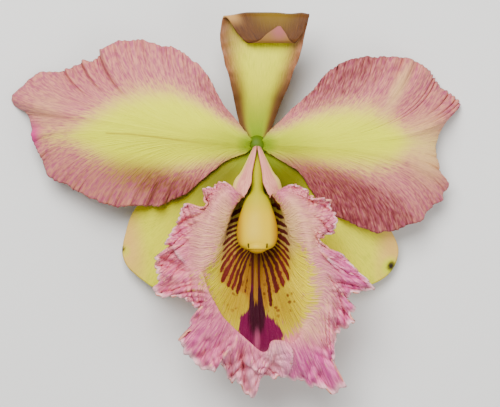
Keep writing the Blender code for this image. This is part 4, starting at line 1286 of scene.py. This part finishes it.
class BLOOM_OT_sepals(Operator):
    """Build the two lateral sepals and the dorsal sepal with its folded, curled tip"""

    bl_idname = "bloom.sepals"
    bl_label = "Build sepals"

    def execute(self, context):
        sizes, colours = context.scene.bloom_sizes, context.scene.bloom_colours
        face = sepal_material(colours)
        self.lateral("left", LEFT_SEPAL_EDGE, (196.0, 258.0), -0.76, 0.1, face, sizes)
        self.lateral("right", RIGHT_SEPAL_EDGE, (-16.0, -78.0), 0.76, 0.6, face, sizes)
        self.dorsal(face, flap_material(colours), sizes)
        return {"FINISHED"}

    def lateral(self, side, edge, foot_angles, aside, shift, face, sizes):
        u, v = stations(SEPAL_GRID)
        axis = (aside, -0.65, 0.0)
        ruffle = ((0.4, 2.0, shift),)
        points, outward = fan_surface(
            foot_angles, SEPAL_FOOT, edge, 0.0, axis, 0.58, -2.2, ruffle, SEPAL_GRID
        )
        points = frill(points, outward, u, v, ((0.2, 0.08, 9.0, 11, 5.0),))
        thickness = blade_thickness(u, v, sizes.sepal_edge, SEPAL_CLAW)
        masks = patch_masks(points, LATERAL_PATCHES)
        made = add_blade(f"{side}_lateral_sepal", points, thickness, masks, face, face)
        seat(made, f"lateral_sepal_{side}")

    def dorsal(self, face, flap, sizes):
        """Strap along a middle path: x = middle + w times the half width, and the sides bend away from
        the viewer by the fold times w^2, less towards the fold, past which the flap lies flat."""
        w, s = stations(DORSAL_GRID)
        w = (2.0 * w - 1.0)[:, None]
        rows = smooth_curve(DORSAL_ROWS, s)
        bend = DORSAL_FOLD_BACK * np.clip(s / 0.2, 0.0, 1.0) * np.clip((DORSAL_FLAT_FROM - s) / 0.2, 0.0, 1.0)
        line = -2.2 * ease(-w, 0.4, 1.0) - 0.8 * bell(w - 0.55, 0.22) - 0.9 * ease(w, 0.8, 1.0)
        edge_rise = natural_waves(s, 11.0, 21) * np.abs(w) ** 6
        x = rows[:, 0] + w * rows[:, 3]
        y = rows[:, 1] + line * between(s, 0.3, 0.42, 0.6, 0.72)
        z = rows[:, 2] - bend * w**2 + 0.25 * edge_rise * np.sin(math.pi * s)
        points = np.stack([x, y, z], axis=-1)
        outer = np.abs(w)
        dim_side = patches(points, (-9.0, 36.5, 5.0, 8.0, 0.0, 0.9, 0.6)) * (1.0 - ease(s, 0.55, 0.6))
        masks = {
            "side": largest(ease(outer, 0.38, 0.98) * (1.0 - ease(s, 0.66, 0.8)), dim_side),
            "blush": ease(s, 0.66, 0.8),
            # Painted shade: darker towards the base and towards the sides, which bend back.
            "shade": (1.0 - ease(s, 0.1, 0.42)) * (0.25 + 0.45 * outer**2),
            # Brown: at the sides near the base, partly painted shade where they bend back; also in the curled
            # tip and a patch at the upper left.
            "brown": largest(
                ease(outer, 0.3, 0.9) * (1.0 - ease(s, 0.2, 0.4)) * 0.9,
                ease(s, 0.72, 0.84) * 0.72,
                patches(points, (-11.0, 38.0, 4.5, 7.0, 0.0, 0.8, 0.5)),
            ),
            "base": (1.0 - ease(s, 0.0, 0.3)) * (1.0 - ease(outer, 0.3, 0.8)),
            "rose": patches(points, (7.4, 37.8, 2.4, 2.4, 0.0, 0.9, 0.6)) * ease(s, 0.8, 0.9),
            "flap_green": (1.0 - ease(np.abs(w - 0.15), 0.1, 0.8)) * (1.0 - ease(s, 0.68, 0.82)),
            "rim": ease(-w, 0.55, 0.9) * (1.0 - ease(s, 0.68, 0.76)) * 0.6,
        }
        made = add_blade("dorsal_sepal_folded", points, sizes.sepal_edge / MM, masks, face, flap)
        seat(made, "dorsal_sepal")


class BLOOM_OT_lip(Operator):
    """Build the trumpet lip with its ruffled limb, stripes and blotch"""

    bl_idname = "bloom.lip"
    bl_label = "Build lip"

    def execute(self, context):
        sizes, colours = context.scene.bloom_sizes, context.scene.bloom_colours
        u, v = stations(LIP_GRID)
        v = np.interp(v, *zip(*LIP_ROWS))
        points = self.surface(u, v)
        crest_highlights = self.ruffle(points, u, v, sizes.lip_frill / MM)
        masks = self.masks(points, u, v, crest_highlights)
        thickness = (sizes.lip_tube + (sizes.lip_edge - sizes.lip_tube) * ease(v, 0.3, 0.8)) / MM
        face, back = lip_face_material(colours), lip_back_material(colours)
        seat(add_blade("trumpet_lip", points, thickness, masks, face, back), "lip")
        return {"FINISHED"}

    def surface(self, u, v):
        """Loft through rings: four slit ellipses for the tube, then the throat, the crest's foot, the
        crest's top and the edge. Every u gives one smooth vein through the rings."""
        rings = []
        for y, lean, z, half_width, half_height, slit in TUBE_RINGS:
            angle = np.radians(90.0 + slit + (360.0 - 2 * slit) * u)
            ring = [half_width * np.cos(angle), y + lean * np.sin(angle), z + half_height * np.sin(angle)]
            rings.append(np.stack(ring, axis=-1))
        rise = np.asarray(LIMB_RISE)
        halfway = (rise[:, :3] + rise[:, 3:]) / 2
        guides = ((THROAT_RING, THROAT_RING), (rise, halfway), (LIP_EDGE, LIP_EDGE))
        throat, pairs, edge = (
            smooth_curve(rows, u, edge_places(guide, LIP_MIDDLE, LIP_BY_ANGLE)) for rows, guide in guides
        )
        rings = np.stack([*rings, throat, pairs[:, :3], pairs[:, 3:], edge])
        veins = smooth_curve(rings.reshape(len(rings), -1), v, RING_PLACES)
        return veins.reshape(len(v), len(u), 3).transpose(1, 0, 2)

    def ruffle(self, points, u, v, height):
        """Crumples of the limb towards its edge, whose crests cross each other, the edge's scallops, and
        the folds, whose leaning crests it returns as a mask for a painted highlight. Everything eases in past
        the crest."""
        outward = points[:, -1] - points[:, -len(v) // 5]
        outward[:, 2] = 0.0
        outward /= np.maximum(np.linalg.norm(outward, axis=1, keepdims=True), 0.5)
        ends = between(u, 0.0, 0.05, 0.95, 1.0)
        calm = 1.0 - patches(points, (11.0, -69.0, 8.0, 9.0, 0.0, 0.6, 0.7))
        calm = calm + patches(points, (-7.0, -77.0, 15.0, 8.0, 0.0, 0.6, 0.45))
        calm = calm - patches(points, (-16.5, -64.0, 8.0, 8.0, 0.0, 0.7, 0.55))
        for count, slant, rise, seed in LIP_CRUMPLES:
            crumple = natural_waves(u[:, None] + slant * v, count, seed) * ends[:, None]
            points[:, :, 2] += rise * height * crumple * ease(v, 0.7, 0.97) * calm
        scallop = 0.55 * (np.abs(natural_waves(u, 34.0, 35)) - 0.8) + 0.26 * natural_waves(u, 85.0, 38)
        points += ((scallop * ends)[:, None] * ease(v, 0.86, 1.0))[..., None] * outward[:, None]
        return fold(points, LIP_FOLDS, ease(v, 0.72, 0.8))

    def masks(self, points, u, v, crest_highlights):
        """Where each colour of the lip lies, by patches in the picture's plane and by the way out."""
        x, y = points[..., 0], points[..., 1]
        throat = 1.0 - ease(v, 0.66, 0.7)
        lower_left = between(u, 0.3, 0.34, 0.6, 0.64)[:, None]
        soft = np.interp(y, (-60.0, -45.0, -30.0), (8.0, 6.2, 4.0))
        yellow = span(y, x, LIP_YELLOW, soft) * (1.0 - lower_left * (1.0 - throat))
        blotch = span(y, x, LIP_BLOTCH, 1.8) * (1.0 - 0.85 * ease(y, -55.5, -49.0))
        # Painted shade in ochre between the stripes, less towards the top.
        shade_between_stripes = span(y, x, LIP_STRIPED, 2.6) * (0.85 - 0.55 * ease(y, -37.0, -29.0))
        frill_rim = patches(points, (6.5, -71.0, 4.5, 6.0, 0.0, 0.7, 0.38)) * ease(v, 0.7, 0.78)
        rank, dark = stripe_rank(points)
        masks = patch_masks(points, LIP_PATCHES)
        return masks | {
            "rank": (rank + 1.0) / STRIPE_SCALE,
            "share": dark,
            # Rim: the lip's pale margin, partly painted highlight; painted highlight on the leaning fold
            # crests; painted light on the apron's lower frill; and the paler frill.
            "rim": largest(masks["rim"], ease(v, 0.965, 1.0) * 0.8, crest_highlights * 0.7, frill_rim),
            "yellow": largest(yellow, 1.0 - ease(v, 0.34, 0.42)),
            # Painted shade in ochre: the middle patches and between the stripes.
            "ochre": largest(masks["ochre"], shade_between_stripes),
            "stripes": span(y, x, LIP_STRIPED, 0.9) * ease(v, 0.28, 0.34) * throat,
            "flare": ease(np.abs(x) - 0.1 * y, 9.0, 13.5),
            # The centre lines, and the painted shadow below the column's end.
            "centre": largest(masks["centre"], lines_mask(points, CENTRE_LINES, 0.2)),
            "purple": largest(blotch, lines_mask(points, BLOTCH_PRONGS, 0.4)) * throat,
            "flank": ease(np.minimum(u, 1.0 - u), 0.1, 0.15)[:, None] * (1.0 - ease(v, 0.3, 0.45)),
        }


class BLOOM_OT_column(Operator):
    """Build the column, the anther cap and the four pollen masses"""

    bl_idname = "bloom.column"
    bl_label = "Build column"

    def execute(self, context):
        colours = context.scene.bloom_colours
        self.column(column_material(colours))
        self.cap(Skin("anther cap wax", colours, 0.4).finish("anther"))
        pollen = Skin("pollen wax", colours, 0.4).finish("pollen")
        rises = np.linspace(POLE_ANGLE, math.pi - POLE_ANGLE, POLLEN_RINGS)
        for number in range(4):
            middle = ((number - 1.5) * POLLEN_STEP, CAP_MIDDLE[1] + POLLEN_SHIFT, CAP_MIDDLE[2])
            rings = ellipsoid_rings(middle, POLLEN_SIZE, POLLEN_SIDES, rises)
            made = add_tube(f"pollen_mass_{number + 1}", rings, {}, pollen)
            seat(made, f"pollinium_{number + 1}")
        return {"FINISHED"}

    def column(self, waxy):
        """Rings along the column's path; points inside the cap's seat move out onto its ellipsoid."""
        s = np.linspace(0.0, 1.0, COLUMN_RINGS)
        rings = path_rings(smooth_curve(COLUMN_ROWS, s), COLUMN_SIDES, COLUMN_UNDER)
        size = np.array(CAP_SIZE) + SEAT_GAP
        from_seat = (rings - np.array(CAP_MIDDLE)) / size
        distance = np.linalg.norm(from_seat, axis=-1, keepdims=True)
        pushed = np.array(CAP_MIDDLE) + from_seat / np.maximum(distance, 1e-6) * size
        rings = np.where(distance < 1.0, pushed, rings)
        along = s[:, None]
        masks = {
            "narrow": 1.0 - ease(along, 0.45, 0.75),
            # Painted shade: ochre at the flanks, where the column's sides turn away from the light.
            "flank": ease(np.abs(rings[..., 0]), 3.6, 6.4) * ease(along, 0.45, 0.6),
            "root": 1.0 - ease(along, 0.06, 0.2),
            # Painted shade in the slits beside the cap.
            "slit": lines_mask(rings, COLUMN_SLIT_SHADES, 0.15) * (rings[..., 2] > CAP_MIDDLE[2] - 1.5),
        }
        seat(add_tube("column_body", rings, masks, waxy), "column")

    def cap(self, waxy):
        """Bowl open towards the column: rings from the outer pole of an ellipsoid out over its dome to
        the rim, then back inside on an ellipsoid smaller by the wall."""
        rises = np.linspace(POLE_ANGLE, CAP_RIM_ANGLE, CAP_RINGS)
        outer = np.array(CAP_SIZE)
        dome = ellipsoid_rings(CAP_MIDDLE, outer, CAP_SIDES, rises)
        inside = ellipsoid_rings(CAP_MIDDLE, outer - CAP_WALL, CAP_SIDES, rises[::-1])
        made = add_tube("anther_lid", np.concatenate([dome, inside]), {}, waxy)
        seat(made, "anther_cap")


class BLOOM_OT_stalk(Operator):
    """Build the ovary and the stalk with its cut end"""

    bl_idname = "bloom.stalk"
    bl_label = "Build ovary and stalk"

    def execute(self, context):
        s = np.linspace(0.0, 1.0, STALK_RINGS)
        rows = smooth_curve(STALK_ROWS, s)
        rings = path_rings(rows[:, [0, 1, 2, 2]], STALK_SIDES)
        middle = rings.mean(axis=1, keepdims=True)
        angle = np.linspace(0.0, 2 * math.pi, STALK_SIDES, endpoint=False)[None, :, None]
        bulge = between(s, 0.1, 0.25, 0.45, 0.6)[:, None, None]
        rings = middle + (rings - middle) * (1.0 - 0.05 * bulge * (0.5 + 0.5 * np.cos(6 * angle)))
        masks = {"neck": 1.0 - ease(s, 0.0, 0.08)[:, None], "cut": ease(s, 0.992, 0.999)[:, None]}
        made = add_tube("ovary_and_stalk", rings, masks, stalk_material(context.scene.bloom_colours))
        seat(made, "ovary_stalk")
        return {"FINISHED"}


class BLOOM_OT_stage(Operator):
    """Lay the pale floor, and set up the soft light and the camera that looks down on the bloom"""

    bl_idname = "bloom.stage"
    bl_label = "Build stage"

    def execute(self, context):
        stage = context.scene.bloom_stage
        self.floor(Skin("pale floor", context.scene.bloom_colours, 0.8).finish("floor"))
        self.lamp("key", *KEY_LAMP, stage.key_power)
        self.lamp("fill", *FILL_LAMP, stage.fill_power)
        world = bpy.data.worlds.new("even light")
        world.use_nodes = True
        background = world.node_tree.nodes["Background"]
        background.inputs["Color"].default_value = (1.0, 1.0, 1.0, 1.0)
        background.inputs["Strength"].default_value = stage.sky
        context.scene.world = world
        self.camera(context.scene, stage)
        return {"FINISHED"}

    def floor(self, material):
        """Square in the plane z = 0, two metres a side."""
        corners = [(-1.0, -1.0, 0.0), (1.0, -1.0, 0.0), (1.0, 1.0, 0.0), (-1.0, 1.0, 0.0)]
        mesh = bpy.data.meshes.new("floor")
        mesh.from_pydata(corners, [], [(0, 1, 2, 3)])
        mesh.materials.append(material)
        linked("floor", mesh)

    def lamp(self, name, place, size, power):
        """Square area lamp that points at the join point."""
        data = bpy.data.lights.new(name, "AREA")
        data.size = size
        data.energy = power
        made = linked(name, data)
        made.location = place
        x, y, z = JOIN_POINT - np.array(place)
        tilt = math.acos(-z / math.hypot(x, y, z))
        made.rotation_euler = (tilt, 0.0, math.atan2(y, x) - math.pi / 2)

    def camera(self, scene, stage):
        """Straight above the picture's middle, looking down with +Y up in the picture."""
        data = bpy.data.cameras.new("camera")
        data.lens = data.sensor_width * stage.distance / stage.picture_width
        data.clip_start = 0.01
        made = linked("camera", data)
        made.location = JOIN_POINT + np.array([*PICTURE_MIDDLE, 0.0]) * MM + (0.0, 0.0, stage.distance)
        scene.camera = made


class BLOOM_PT_panel(Panel):
    """The bloom's pieces, sizes and colours"""

    bl_label = "Cattleya bloom"
    bl_space_type = "VIEW_3D"
    bl_region_type = "UI"
    bl_category = "Bloom"

    def draw(self, context):
        layout = self.layout
        for operator in OPERATORS:
            layout.operator(operator.bl_idname)
        for group in (context.scene.bloom_sizes, context.scene.bloom_colours, context.scene.bloom_stage):
            box = layout.box()
            for name in group.__annotations__:
                box.prop(group, name)


OPERATORS = (
    BLOOM_OT_petals,
    BLOOM_OT_sepals,
    BLOOM_OT_lip,
    BLOOM_OT_column,
    BLOOM_OT_stalk,
    BLOOM_OT_stage,
)
CLASSES = (BloomSizes, BloomColours, BloomStage, *OPERATORS, BLOOM_PT_panel)


def register():
    for item in CLASSES:
        bpy.utils.register_class(item)
    bpy.types.Scene.bloom_sizes = PointerProperty(type=BloomSizes)
    bpy.types.Scene.bloom_colours = PointerProperty(type=BloomColours)
    bpy.types.Scene.bloom_stage = PointerProperty(type=BloomStage)


def unregister():
    del bpy.types.Scene.bloom_stage
    del bpy.types.Scene.bloom_colours
    del bpy.types.Scene.bloom_sizes
    for item in reversed(CLASSES):
        bpy.utils.unregister_class(item)


def main():
    register()
    bpy.ops.bloom.petals()
    bpy.ops.bloom.sepals()
    bpy.ops.bloom.lip()
    bpy.ops.bloom.column()
    bpy.ops.bloom.stalk()
    bpy.ops.bloom.stage()


if __name__ == "__main__":
    main()
